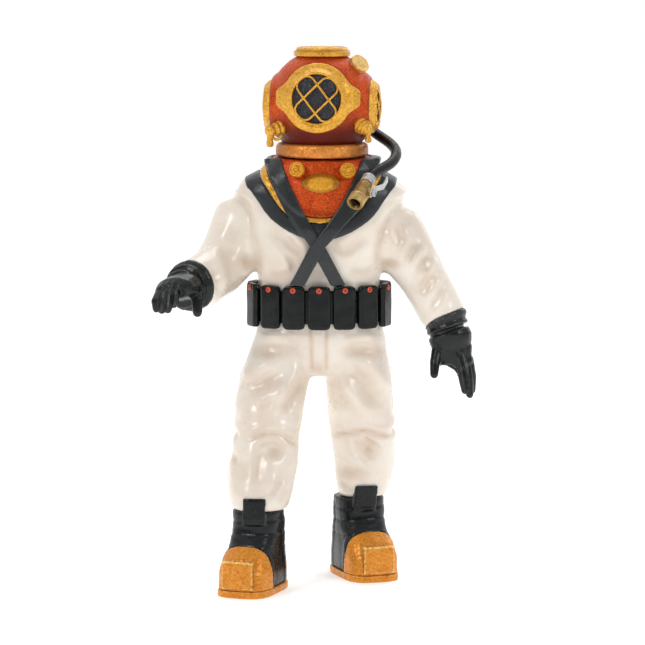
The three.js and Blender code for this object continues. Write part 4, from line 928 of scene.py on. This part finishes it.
def harness(easing, suit, black, gold, copper):
    collar = easing.ease(node_skin("collar", voxel=1.1))
    collar.smooth(9)
    collar.roughen(22, 0.5, 2)
    show_skin("collar_skin", collar, black, ("collar",), 6, 0.6, 0.5)

    brail = easing.ease(node_skin("corselet_brail", voxel=0.9))
    brail.smooth(4)
    brail.roughen(5, 0.4, 6)
    show_skin("corselet_brail_skin", brail, gold, ("corselet_brail",), 6, 0.5, 0.5)

    corselet = easing.ease(node_skin("corselet", voxel=1.1))
    corselet.smooth(14)
    corselet.roughen(3.4, 0.3, 8)
    # painted shade: darker along the lower edge, where the corselet turns under, and just under the neck ring
    corselet.wash_and_shade = (0.5 * smoothstep(424, 408, corselet.at[:, 2])
                     + 0.25 * smoothstep(470, 478, corselet.at[:, 2]))
    show_skin("corselet_skin", corselet, copper, ("corselet",), 8, 0.8, 0.8)

    under = [suit, collar, brail, corselet]
    right = strap("right", RIGHT_STRAP, easing, under, black)
    strap("left", LEFT_STRAP, easing, [*under, right], black)
    return corselet


def oval(half_width, half_height, squareness, segments=96):
    """A pointed or squarish oval in the front view, as x and z offsets."""
    angle = np.arange(segments) * 2 * math.pi / segments
    c, s = np.cos(angle), np.sin(angle)
    reach = (np.abs(c) ** squareness + np.abs(s) ** squareness) ** (-1 / squareness)
    return np.stack([half_width * reach * c, half_height * reach * s], 1)


def corselet_fittings(corselet, gold):
    """The oval plate with its flat raised middle and its bevel, and two studs with domed centres."""
    tree = BVHTree.FromPolygons(corselet.at.tolist(), corselet.faces.tolist())
    middle = np.array([1, 450.3])

    def surface(x, z):
        return tree.ray_cast(Vector((x, -200, z)), Vector((0, 1, 0)))[0].y

    flat = surface(*middle) - 4.0
    outer, inner = oval(22, 10.8, 1.75), oval(12.8, 6.6, 2.3)
    rings = []
    for share, lift in ((0, -3.0), (0, 0.6), (0.04, 1.3)):
        points = middle + outer + (inner - outer) * share
        rings.append([[x, surface(x, z) - lift, z] for x, z in points])
    for scale, sunk in ((1.03, 0.35), (0.96, 0.0), (0.8, -0.05), (0.5, 0.0), (0.2, 0.0)):
        rings.append([[x, flat + sunk, z] for x, z in middle + inner * scale])
    at, faces = capped(np.array(rings), [1, flat + 9, 450.3], [1, flat, 450.3])
    plate = fused([(at, faces)], 0.5)
    plate.smooth(3)
    off = abs(plate.at - [1, 0, 450.3]) / [13, 1, 6.7]
    bevel = smoothstep(0.92, 1.2, (off[:, 0] ** 2.3 + off[:, 2] ** 2.3) ** (1 / 2.3))
    # painted shade on the bevel, deeper towards the plate's ends
    plate.wash_and_shade = bevel * (0.45 + 0.25 * smoothstep(10, 21, abs(plate.at[:, 0] - 1)))
    show_skin("corselet_plate_skin", plate, gold, ("corselet_plate",), 6, 0.6, 0.8)

    profile = [[0, -6], [6, -6], [8.2, -3], [8.7, 0.2], [8.7, 2.4], [8.1, 3.5], [7.0, 3.8], [6.2, 3.2],
        [5.2, 2.9],
               [4.2, 3.2], [3.5, 4.0], [3.3, 5.4], [2.9, 6.8], [1.8, 7.8], [0, 8.2]]
    for side, x, z, lean in (("right", -25, 465, -0.35), ("left", 30, 464, 0.35)):
        shell = lathe(profile, 48, along((x, -53, z), (lean, -1, 0.36)), 4)
        skin = fused([shell], 0.45)
        skin.smooth(2)
        skin.roughen(2.2, 0.22, x)
        show_skin(f"{side}_stud_skin", skin, gold, (f"{side}_corselet_stud",), 6, 0.35, 0.4)


# ---------------------------------------------------------------- belt
def belt(black, red):
    band = node_skin("belt_band", voxel=1.1)
    band.smooth(8)
    show_skin("belt_band_skin", band, black, ("belt_band",))
    for number in range(1, 15):
        name = f"belt_weight_{number:02d}"
        weight = node_skin(name, voxel=0.85)
        weight.smooth(9)
        middle = weight.at.mean(0)
        outward = np.array([(middle[0] + 1) / 73**2, middle[1] / 48**2, 0])
        outward /= np.linalg.norm(outward)
        sideways = np.array([-outward[1], outward[0], 0])
        off = (weight.at - middle) @ sideways
        facing = smoothstep(0.3, 0.8, weight.normals() @ outward)
        # a flat face between two long bevels
        weight.press(facing * (1.3 * smoothstep(12.5, 8, abs(off)) - 0.6))
        weight.roughen(14, 0.35, number * 1.3)
        show_skin(f"{name}_skin", weight, black, (name,), 6, 0.5, 0.6)
        tree = BVHTree.FromPolygons(weight.at.tolist(), weight.faces.tolist())
        start = Vector(middle) + Vector(outward) * 30
        start.z = 330.6
        hit, normal, _, _ = tree.ray_cast(start, -Vector(outward))
        if hit is not None:
            normal = (normal + Vector(outward)).normalized()
            screw(f"belt_screw_{number:02d}", np.array(hit), normal, number * 0.7, red)


def screw(name, at, normal, turn, paint):
    """A domed head with a soft-edged cross slot, the slot painted dark as shade."""
    rows, segments = 9, 40
    profile = [[0, -0.8], [3.0, -0.8],
        *[[3.2 * math.cos(a), 1.9 * math.sin(a)] for a in np.linspace(0, 1.45, rows)], [0, 1.9]]
    points, faces = lathe(profile, segments)
    c, s = math.cos(turn), math.sin(turn)
    x, y = points[:, 0] * c + points[:, 1] * s, points[:, 1] * c - points[:, 0] * s
    slot = (smoothstep(0.75, 0.3, np.minimum(abs(x), abs(y))) * smoothstep(2.7, 2.3, np.hypot(x, y))
            * (points[:, 2] > 0))
    points[:, 2] -= 0.8 * slot
    points = carried(points, along(at, normal, (0.1, 0.2, 1)))
    # the slot goes into the hollow paint mask as painted shade
    show(name, points, faces, paint, wash_and_light_masks={"wash_and_shade": 0.8 * slot, "wear_and_highlight": 0 * slot})


# ---------------------------------------------------------------- helmet
def bonnet_profile():
    neck = [[43, 477], [43, 484], [44.6, 492], [50, 503], [54.6, 516], [57.2, 529]]
    dome = [[HELMET_RADIUS * math.cos(a), HELMET_Z + (HELMET_RADIUS - 4) * math.sin(a)]
            for a in np.radians([-2, 8, 18, 28, 38, 48, 58, 68, 78])]
    return sampled([*neck, *dome], 6)


def helmet_ray(azimuth, z):
    """A place on the helmet's axis, and the level direction that a window there faces."""
    turn = math.radians(azimuth) + HELMET_YAW
    return np.array([HELMET_X, 0, z]), np.array([math.sin(turn), -math.cos(turn), 0])


WINDOWS = {
    # side: (azimuth, height, glass radius, how far out its face stands)
    "front": (0, 543, 27, 56.8),
    "right": (-90, 532, 22, 63.75),
    "left": (90, 532, 22, 63.75),
}


def window_place(side):
    azimuth, z, _, _ = WINDOWS[side]
    centre, direction = helmet_ray(azimuth, z)
    return along(centre, direction, np.cross([0, 0, 1], direction))


def bonnet(copper):
    """The dome, with a recess behind each window. Returns the smooth dome to lay the frames on."""
    profile = bonnet_profile()
    shell = lathe([[0, 477], *profile, [0, profile[-1][1]]], 220, (np.eye(4), np.array([HELMET_X, 0, 0])))
    dome = BVHTree.FromPolygons(shell[0].tolist(), shell[1])
    at = shell[0].copy()
    # painted shade: darker towards the bottom of the dome and just under the top cap
    wash_and_shade = 0.95 * smoothstep(536, 500, at[:, 2]) + 0.2 * smoothstep(575, 590, at[:, 2])
    for side, (_, _, glass, face) in WINDOWS.items():
        turn, centre = window_place(side)
        own = (at - centre) @ turn[:3, :3]
        radius = np.hypot(own[:, 0], own[:, 1])
        ahead = own[:, 2] > 0
        recess = ahead & (radius < glass + 1.5)
        if side != "front":
            # the shell swells up to meet its side frames
            swell = smoothstep(39, 30, radius) * ahead
            own[:, 2] += np.maximum(face - 8.2 - own[:, 2], 0) * swell
        own[recess, 2] = np.minimum(own[recess, 2], face - 9)
        at = own @ turn[:3, :3].T + centre
        outer = 37 if side == "front" else 30
        # painted shade in a band round each window frame
        wash_and_shade = np.maximum(wash_and_shade, 0.6 * ahead * smoothstep(outer + 5, outer, radius))
    lumps = np.array([noise.noise(Vector(p) / 3.2) + 0.6 * noise.noise(Vector(p) / 1.7) for p in at])
    away = at - np.array([HELMET_X, 0, HELMET_Z])
    away /= np.linalg.norm(away, axis=1, keepdims=True)
    at = at + away * (0.22 * lumps)[:, None]
    show("helmet_bonnet_skin", at, shell[1], copper, ("helmet_bonnet",),
         wash_and_light_masks={"wash_and_shade": wash_and_shade, "wear_and_highlight": np.zeros(len(at))})
    return dome


def lug_reach(angle):
    """How far the front frame reaches at an angle: a round frame with a flat-ended lug to each side."""
    from_level = np.degrees(np.abs(np.arctan2(np.abs(np.sin(angle)), np.abs(np.cos(angle)))))
    return np.interp(from_level, [0, 8, 9.5, 16, 19, 23, 28, 34],
        [45.0, 45.4, 45.2, 41.6, 39.6, 38.0, 37.2, 37.0])


def front_frame(dome, gold):
    """A flat-faced ring that follows the dome, with a lip round its glass."""
    glass, face = WINDOWS["front"][2:]
    turn, centre = window_place("front")
    segments = 240
    rows = []
    for k in range(segments):
        angle = 2 * math.pi * k / segments
        outer = float(lug_reach(angle))
        out = np.array([math.cos(angle), math.sin(angle), 0])
        section = [carried([out * glass + [0, 0, face - 8]], (turn, centre))[0]]
        for radius, level in ((glass, face - 1.2), (glass + 0.5, face - 0.3), (glass + 1.4, face),
            (glass + 2.4, face - 0.4)):
            section.append(carried([out * radius + [0, 0, level]], (turn, centre))[0])
        plate = [(glass + 3.4, 4.2), (glass + 4.6, 4.0), (0.5 * (glass + outer) + 1.5, 4.0),
            (outer - 2.2, 4.0),
                 (outer - 1.1, 3.8), (outer - 0.35, 3.2), (outer, 2.2), (outer + 0.1, 0.8),
                 (outer - 0.2, -1.5)]
        for radius, lift in plate:
            start = carried([out * radius + [0, 0, 120]], (turn, centre))[0]
            hit, normal, _, _ = dome.ray_cast(Vector(start), -Vector(turn[:3, 2]))
            section.append(np.array(hit) + np.array(normal) * lift)
        rows.append(section)
    count = len(rows[0])
    at = np.array(rows).transpose(1, 0, 2).reshape(-1, 3)
    faces = [f[::-1] for f in grid_faces(count, segments, closed_rows=True)]
    skin = fused([(at, faces)], 0.7)
    skin.smooth(2)
    skin.roughen(3.0, 0.3, 7)
    show_skin("front_window_frame_skin", skin, gold, ("front_window_frame",), 6, 0.5, 0.5)
    guard("front", gold)


def side_frame(side, gold):
    """A deep round frame with a stepped face."""
    profile = [[0, 46], [30, 46], [30.2, 52], [29.8, 55.5], [28.6, 58.6], [27.2, 60.0], [25.8, 61.2],
        [24.9, 63.0],
               [23.6, 63.8], [22.4, 63.4], [22, 62.0], [22, 54], [0, 54]]
    skin = fused([lathe(profile, 120, window_place(side))], 0.7)
    skin.smooth(3)
    skin.roughen(2.6, 0.5, 5)
    show_skin(f"{side}_window_frame_skin", skin, gold, (f"{side}_window_frame",), 6, 0.45, 0.5)
    guard(side, gold)


def guard(side, gold):
    """Two long loops of wire crossed over the glass, bowed a little outwards."""
    _, _, glass, face = WINDOWS[side]
    length, width, corner = glass * 1.02, glass * 0.39, glass * 0.32
    shells = []
    for turn in (44, 127):
        c, s = math.cos(math.radians(turn)), math.sin(math.radians(turn))
        loop = rounded_loop(length, width, corner)
        own = np.stack([loop[:, 0] * c - loop[:, 1] * s, loop[:, 0] * s + loop[:, 1] * c], 1)
        height = face + 1.6 - 3.4 * (np.hypot(*own.T) / glass) ** 2
        shells.append(tube(carried(np.column_stack([own, height]), window_place(side)), 1.25, 10))
    skin = fused(shells, 0.4)
    skin.smooth(1)
    show_skin(f"{side}_window_guard", skin, gold, (), 4, 0.3, 0.4)


def rounded_loop(length, width, corner, steps=10):
    """A closed rectangle of half-length by half-width with round corners."""
    centres = [(length - corner, width - corner), (corner - length, width - corner),
               (corner - length, corner - width), (length - corner, corner - width)]
    arcs = []
    for k, (x, y) in enumerate(centres):
        sweep = np.radians(np.linspace(90 * k, 90 * (k + 1), steps))
        arcs.append(np.stack([x + corner * np.cos(sweep), y + corner * np.sin(sweep)], 1))
        nearest = centres[(k + 1) % 4]
        end = arcs[-1][-1]
        start = np.array(nearest) + corner * np.array([math.cos(sweep[-1]), math.sin(sweep[-1])])
        arcs.append(end + (start - end) * np.linspace(0.1, 0.9, 9)[:, None])
    return np.vstack(arcs)


def window_glass(side, paint):
    _, _, glass, face = WINDOWS[side]
    rows = [[r, face - 3.0 - 0.8 * (r / glass) ** 2] for r in np.linspace(glass - 0.3, 0.6, 26)]
    profile = [[0, face - 6.6], [glass - 0.3, face - 6.6], *rows, [0, face - 3.0]]
    at, faces = lathe(profile, 110)
    lumps = np.array([noise.noise(Vector(p) / 0.9) for p in at])
    at[:, 2] += 0.25 * lumps * (at[:, 2] > face - 5)
    show(f"{side}_window_glass_skin", carried(at, window_place(side)), faces, paint,
        (f"{side}_window_glass",))


def top_cap(gold):
    """A stepped cap with a rolled rim and a ring of air vents."""
    rim = [[0, 0], [24, 0], [31, 0], [31.5, 0.8], [31.6, 4.2], [31.2, 5.2], [30.4, 5.7], [29.4, 5.9],
        [28.9, 6.6],
           [28.5, 8.0], [27.7, 9.2], [26.3, 9.8], [24.9, 9.5], [23.9, 8.9]]
    crown = [[r, 10.3 - 1.4 * (r / 23.9) ** 2] for r in np.arange(23.1, 1, -0.7)]
    at, faces = lathe([*rim, *crown, [0, 10.3]], 200)
    vents = np.zeros(len(at))
    for k in range(6):
        x, y = 13.2 * math.cos(k * math.pi / 3), 13.2 * math.sin(k * math.pi / 3)
        vents = np.maximum(vents, smoothstep(2.5, 1.9, np.hypot(at[:, 0] - x, at[:, 1] - y)) * (at[:, 2] > 6))
    at[:, 2] -= 5.5 * vents
    lumps = np.array([noise.noise(Vector(p) / 2.6) + 0.5 * noise.noise(Vector(p) / 1.3) for p in at])
    at += lumps[:, None] * np.array([0.14, 0.14, 0.3]) * (at[:, 2:] > 1)
    radius = np.hypot(at[:, 0], at[:, 1])
    # painted shade in the vents and in the grooves round the rim and round the crown
    groove = (0.6 * np.exp(-(((at[:, 2] - 6) / 1.0) ** 2))
              + 0.6 * np.exp(-(((radius - 24) / 1.2) ** 2)) * (at[:, 2] > 7))
    show("top_cap_skin", carried(at, (np.eye(4), np.array([HELMET_X, 0, 588]))), faces, gold,
        ("top_cap",),
         wash_and_light_masks={"wash_and_shade": np.clip(vents + groove, 0, 1), "wear_and_highlight": np.zeros(len(at))})


def crown_plug(gold):
    profile = [[0, -16], [10.4, -16], [11, -9], [11, -3], [11.3, -2.2], [11.3, -0.8], [10.4, 0], [9.4, 0],
        [8.8, -0.6],
               [8.0, -0.5], [4, -0.1], [0, 0.1]]
    skin = fused([lathe(profile, 80, along((45.4, -18.9, 581.6), (0.55, -0.55, 0.6)), 3)], 0.5)
    skin.smooth(2)
    skin.roughen(2.4, 0.2, 3)
    show_skin("crown_plug_skin", skin, gold, ("crown_plug",), 6, 0.35, 0.4)


def neck_ring(gold):
    """A thick, flat-sided band with rounded edges, a little wider at its foot, coarsely beaten."""
    half, middle, reach = 7.7, 484.1, 9.5
    section = [[42.0 + reach * np.sign(math.cos(a)) * abs(math.cos(a)) ** 0.45 * (1 - 0.1 * math.sin(a)),
                middle + half * np.sign(math.sin(a)) * abs(math.sin(a)) ** 0.55]
               for a in np.radians(np.arange(0, 360, 9))]
    segments = 260
    angle = np.arange(segments) * 2 * math.pi / segments
    at = np.array([[r * math.cos(a), r * math.sin(a), z] for r, z in section for a in angle])
    lumps = np.array([noise.noise(Vector(p) / 2.8) + 0.6 * noise.noise(Vector(p) / 1.5) for p in at])
    radial = at * [1, 1, 0] / np.maximum(np.linalg.norm(at[:, :2], axis=1, keepdims=True), 1)
    at = at + radial * (0.3 * lumps)[:, None] + [HELMET_X, 0, 0]
    faces = grid_faces(len(section), segments, closed_rows=True)
    # painted shade on the ring's rounded top and bottom edges and towards its left and right sides
    edge = smoothstep(6.4, 8, abs(at[:, 2] - middle))
    show("neck_ring_skin", at, faces, gold, ("neck_ring",),
        wash_and_light_masks={"wash_and_shade": np.maximum(0.6 * edge, 0.5 * smoothstep(22, 48, abs(at[:, 0]))), "wear_and_highlight": 0 * edge})


def spitcocks(gold):
    """Small drain cocks: a collared stem, a ball or cone at its nose, and a spout that hangs from it."""
    # right: plain collars, a ball nose and a little hooked lever on the inside
    direction = np.array([-0.8, -0.5, -0.25])
    direction /= np.linalg.norm(direction)
    root = np.array([-43, -25, 510]) + 1.5 * direction
    stem = [[0, -10], [8.6, -10], [8.9, 0], [8.4, 1.6], [7.2, 2.6], [6.9, 3.6], [7.6, 4.8], [7.4, 6.2],
        [5.9, 7.4],
            [5.5, 8.8], [6.0, 10.2], [6.9, 11.6], [7.2, 13.4], [6.6, 15.4], [5.0, 17.2], [2.8, 18.1],
            [0, 18.5]]
    nose = root + direction * 13.5
    spout = [[0, 2], [4.4, 2], [4.2, -2], [3.5, -6], [3.2, -9], [3.7, -11.5], [4.1, -14], [3.6, -16.2],
        [2.2, -17.2], [0, -17.4]]
    hook = sampled([nose + [3, 1, -7], nose + [7.5, 1, -9.5], nose + [11, 1, -8], nose + [12.4, 1, -4.6]], 8)
    shells = [lathe(stem, 40, along(root, direction), 3), lathe(spout[::-1], 32, along(nose, (0, 0, 1)), 3),
              tube(hook, 1.7, 12, closed=False)]
    cock("right", shells, gold)
    # left: a stepped cone with a small ball spout
    direction = np.array([0.6, -0.6, -0.45])
    direction /= np.linalg.norm(direction)
    root = np.array([44, -32, 514]) + 2.5 * direction
    stem = [[0, -10], [9.4, -10], [9.8, 0], [9.2, 1.6], [8.0, 2.6], [8.6, 3.8], [8.8, 4.8], [8.0, 6.0],
        [6.9, 6.8],
            [7.6, 8.0], [7.4, 9.2], [6.0, 10.0], [5.8, 11.0], [5.6, 12.4], [4.4, 14.2], [2.6, 15.4],
            [0, 15.9]]
    nose = root + direction * 12.5
    spout = [[0, 1], [3.0, 1], [2.8, -4], [2.6, -6.5], [3.4, -8.2], [3.7, -10], [3.2, -12], [1.8, -12.9],
        [0, -13.1]]
    cock("left", [lathe(stem, 40, along(root, direction), 3),
        lathe(spout[::-1], 32, along(nose, (0, 0, 1)), 3)], gold)


def cock(side, shells, gold):
    skin = fused(shells, 0.5)
    skin.smooth(1)
    skin.roughen(3, 0.25, 2)
    show_skin(f"{side}_spitcock_skin", skin, gold, (f"{side}_spitcock",), 6, 0.35, 0.45)


# ---------------------------------------------------------------- air line
HOSE_ROUTE = [
    (45, 46, 515), (51.3, 39.1, 508.9), (57.5, 31.4, 503.6), (63.5, 23.1, 499.3), (69.7, 14.5, 495.6),
    (75.5, 5.6, 492.1),
    (80.3, -3.8, 488.5), (83.6, -13.7, 484.5), (84.4, -23.9, 480.2), (82.5, -33.9, 475.7),
    (78.4, -43.5, 471.7),
    (72.7, -52.6, 468.6), (66.3, -61.3, 465.9), (59.9, -69.9, 462.7), (54.3, -78.5, 458.3),
]
HOSE_END = np.array(HOSE_ROUTE[-1], float)
VALVE_DIRECTION = np.array([-0.36, -0.75, -0.555])
VALVE_DIRECTION /= np.linalg.norm(VALVE_DIRECTION)
FERRULE_LENGTH = 11
VALVE_PLACE = along(HOSE_END, VALVE_DIRECTION)


def air_hose(material):
    """The hose's own line, out of the elbow, round past the shoulder and into the valve's ferrule."""
    route = [*HOSE_ROUTE, tuple(HOSE_END + VALVE_DIRECTION * (FERRULE_LENGTH - 2.3))]
    data = bpy.data.curves.new("air_hose_skin", "CURVE")
    data.dimensions = "3D"
    data.bevel_depth = HOSE_DIAMETER / 2 * MM
    data.bevel_resolution = 8
    data.resolution_u = 10
    data.use_fill_caps = True
    spline = data.splines.new("BEZIER")
    spline.bezier_points.add(len(route) - 1)
    for point, place in zip(spline.bezier_points, metres(route)):
        point.co = place
        point.handle_left_type = "AUTO"
        point.handle_right_type = "AUTO"
    hose = bpy.data.objects.new("air_hose_skin", data)
    bpy.context.scene.collection.objects.link(hose)
    data.materials.append(material)
    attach(hose, "diver")
    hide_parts("air_hose")
    return hose, metres(route[0])


def valve_pieces(brass_metal, steel_metal):
    """The ferrule and the valve's body, turned; the rest of the valve keeps its CAD shape."""
    start = FERRULE_LENGTH + 0.3
    ferrule = [[6.15, 0.3], [6.5, 0], [7.2, 0.1], [7.4, 0.6], [7.4, 1.6], [7.15, 1.9], [7.15, 2.3],
        [7.4, 2.6], [7.4, 8.4],
               [7.15, 8.7], [7.15, 9.1], [7.4, 9.4], [7.4, 10.4], [7.0, 11], [2.9, 11], [2.8, 10.6],
               [2.8, 9.2], [6.15, 9.0]]
    pieces = [turned_ring("valve_ferrule_skin", ferrule, steel_metal, "valve_ferrule", 34)]
    end = start + 35
    threads = [[6.4 - 0.35 * (k % 2), end - 1.4 - 0.55 * k] for k in range(16)]
    body = [[2.8, start], [6.2, start], [6.8, start + 0.6], [7.0, start + 2], [8.0, start + 3],
        [8.2, start + 3.8],
            [8.2, start + 6], [8.0, start + 6.3], [8.0, start + 6.8], [8.2, start + 7.1], [8.2, end - 14.4],
            [7.8, end - 13.9], [7.8, end - 13.3], [8.6, end - 12.6], [9.2, end - 12], [9.4, end - 11.4],
            [9.4, end - 9.4], [9.1, end - 9.0], [9.1, end - 8.5], [9.4, end - 8.1], [9.4, end - 1],
            [9.0, end - 0.3],
            [8.4, end], [7.0, end], [6.6, end - 0.6], *threads, [6.2, end - 11], [2.8, end - 11]]
    pieces.append(turned_ring("valve_body_skin", body, brass_metal, "valve_body", 30,
        dark_from=end - 2))
    boss = [[0, 3], [4.5, 3], [4.6, 5], [4.6, 9.2], [4.3, 9.7], [2.4, 9.8], [2.35, 8], [0, 8]]
    middle = carried([[0, 0, start + 11]], VALVE_PLACE)[0]
    place = along(middle, VALVE_PLACE[0][:3, 0], VALVE_DIRECTION)
    at, faces = lathe(boss, 40, place)
    show("valve_boss", at, faces, brass_metal, sharp=30)
    return pieces


def turned_ring(name, section, material, node, sharp, dark_from=None):
    """A turned piece with a bore: a closed section swept right round the valve's axis."""
    segments = 72
    angle = np.arange(segments) * 2 * math.pi / segments
    own = np.array([[r * math.cos(a), r * math.sin(a), z] for r, z in section for a in angle])
    faces = [f[::-1] for f in grid_faces(len(section), segments, closed_rows=True)]
    radius = np.hypot(own[:, 0], own[:, 1])
    # painted shade inside the bore
    bore = smoothstep(6.6, 6.2, radius) * (own[:, 2] < dark_from if dark_from else 0)
    rub = 0.5 * (radius > 9.3) if dark_from else 0 * radius
    return show(name, carried(own, VALVE_PLACE), faces, material, (node,),
                wash_and_light_masks={"wash_and_shade": np.asarray(bore, float), "wear_and_highlight": np.asarray(rub, float)}, sharp=sharp)


def keep_cad(name, material, bevel=0.0):
    """A CAD node that keeps its shape, with its own material and softened edges."""
    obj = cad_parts[name]
    obj.data.materials.clear()
    obj.data.materials.append(material)
    if bevel:
        weld = obj.modifiers.new("weld", "WELD")
        weld.merge_threshold = 0.005 * MM
        soften = obj.modifiers.new("soften", "BEVEL")
        soften.width = bevel * MM
        soften.segments = 3
        soften.limit_method = "ANGLE"
        soften.angle_limit = math.radians(35)
    return obj


def inlet_elbow(material):
    skin = node_skin("inlet_elbow", voxel=0.7)
    skin.smooth(5)
    show_skin("inlet_elbow_skin", skin, material, ("inlet_elbow",))


# ---------------------------------------------------------------- stage
def stage():
    floor_mesh = bpy.data.meshes.new("floor")
    reach = 60
    floor_mesh.from_pydata([(-reach, -reach, 0), (reach, -reach, 0), (reach, reach, 0), (-reach, reach, 0)],
        [], [(0, 1, 2, 3)])
    floor = bpy.data.objects.new("floor", floor_mesh)
    bpy.context.scene.collection.objects.link(floor)
    p = Paint("floor_paper", Emission_Color=(1, 1, 1, 1), Emission_Strength=0.32)
    floor_mesh.materials.append(p.done(p.mix(p.noise(400, 2), srgb(250, 250, 250), srgb(246, 246, 246)), 0.9))

    world = bpy.data.worlds.new("studio")
    bpy.context.scene.world = world
    world.use_nodes = True
    nodes, links = world.node_tree.nodes, world.node_tree.links
    # dim in front of the figure, where its blacks look, and white behind it and overhead
    lean = nodes.new("ShaderNodeVectorMath")
    lean.operation = "DOT_PRODUCT"
    lean.inputs[1].default_value = (0, 0.7, 0.5)
    ramp = nodes.new("ShaderNodeMapRange")
    links.new(nodes.new("ShaderNodeTexCoord").outputs["Generated"], lean.inputs[0])
    links.new(lean.outputs["Value"], ramp.inputs["Value"])
    for socket, value in (("From Min", -0.35), ("From Max", 0.6), ("To Min", 0.15), ("To Max", 0.98)):
        ramp.inputs[socket].default_value = value
    links.new(ramp.outputs["Result"], nodes["Background"].inputs["Strength"])
    nodes["Background"].inputs["Color"].default_value = (1, 1, 1, 1)

    # (x, y, z) in metres about the figure, size, watts
    softboxes = [((-2.4, -2.6, 2.6), 1.0, 46), ((2.6, -2.2, 2.1), 0.9, 26), ((0.3, 1.8, 2.8), 1.6, 18),
        ((1.8, 2.6, 1.6), 1.0, 6)]
    for k, (place, size, watts) in enumerate(softboxes):
        data = bpy.data.lights.new(f"softbox_{k}", "AREA")
        data.energy = watts
        data.size = size
        lamp = bpy.data.objects.new(f"softbox_{k}", data)
        bpy.context.scene.collection.objects.link(lamp)
        lamp.location = Vector(place)
        lamp.rotation_euler = (Vector((0, 0, 0.33)) - Vector(place)).to_track_quat("-Z", "Y").to_euler()
    bpy.context.scene.view_settings.view_transform = "Standard"


# ---------------------------------------------------------------- making
make_camera()
hose, hose_exit = air_hose(rubber())

SUIT = suit_paint()
COPPER = copper_paint()
GOLD = gold_paint("gold_paint", srgb(240, 182, 66), srgb(218, 150, 34), srgb(150, 90, 16), 1.7, 0.25)
TOE_GOLD = gold_paint("toe_gold_paint", srgb(232, 150, 40), srgb(214, 126, 20), srgb(172, 90, 14), 1.9,
    0.14, 0.3)
# the collar's black is mixed lighter than the other blacks as painted sheen
SHEENED_COLLAR_BLACK = black_paint("sheened_collar_black", srgb(34, 37, 39), 0.26, 0.4, srgb(42, 46, 48), 0.5)
BELT_BLACK = black_paint("belt_black", srgb(8, 11, 12), 0.16, 0.28, srgb(15, 19, 19), 0.3)
BOOT_BLACK = black_paint("boot_black", srgb(17, 20, 22), 0.2, 0.34, srgb(21, 25, 27), 0.35)
GLOVE_BLACK = black_paint("glove_black", srgb(15, 19, 20), 0.22, 0.36, srgb(23, 28, 29), 0.4)
RING_GOLD = gold_paint("ring_gold", srgb(240, 156, 72), srgb(216, 124, 40), srgb(150, 76, 18), 1.6, 0.28)
PLUG_GOLD = gold_paint("plug_gold", srgb(242, 208, 140), srgb(228, 182, 96), srgb(180, 124, 44), 1.7, 0.12)
PLATE_GOLD = gold_paint("plate_gold", srgb(228, 162, 34), srgb(210, 140, 20), srgb(150, 98, 22), 2.2, 0.03)
BRASS, STEEL, INNER = brass(), steel(), inner_plastic()

easing, suit = suit_top(SUIT)
suit_trousers(SUIT)
glove("right", (-143, -75, 339), (-158, -102, 336),
    [[(-166, 346), (-172, 336), (-175.5, 316)], [(-160, 348), (-165.5, 338),
      (-168.5, 316)], [(-154, 349), (-159, 339), (-162, 318)]], GLOVE_BLACK)
glove("left", (139.5, -14, 295), (146, -17, 276),
    [[(154, 262), (160, 246), (164.5, 214)], [(160, 264), (166, 246), (169, 214)]],
      GLOVE_BLACK, (143, 236, 11))
boot("right", (-90, -129), -20, BOOT_BLACK, TOE_GOLD)
boot("left", (65.5, -36), 20, BOOT_BLACK, TOE_GOLD)
corselet_fittings(harness(easing, suit, SHEENED_COLLAR_BLACK, GOLD, COPPER), PLATE_GOLD)
belt(BELT_BLACK, screw_paint())
dome = bonnet(COPPER)
front_frame(dome, GOLD)
side_frame("right", GOLD)
side_frame("left", GOLD)
WINDOW = window_paint()
for side in WINDOWS:
    window_glass(side, WINDOW)
top_cap(GOLD)
crown_plug(PLUG_GOLD)
neck_ring(RING_GOLD)
spitcocks(GOLD)
inlet_elbow(BRASS)
valve = valve_pieces(BRASS, STEEL)
for name, bevel in (("valve_lever", 0.5), ("lever_nut", 0.4), ("valve_spindle", 0.2), ("valve_ball", 0.0)):
    keep_cad(name, STEEL, bevel)
for name in ("valve_seat_upper", "valve_seat_lower", "air_tube", "air_stone"):
    keep_cad(name, INNER)
stage()

on_hose = [*valve, bpy.data.objects["valve_boss"]]
on_hose += [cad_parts[n] for n in ("valve_seat_upper", "valve_seat_lower", "valve_ball",
    "valve_spindle", "valve_lever",
                                        "lever_nut")]
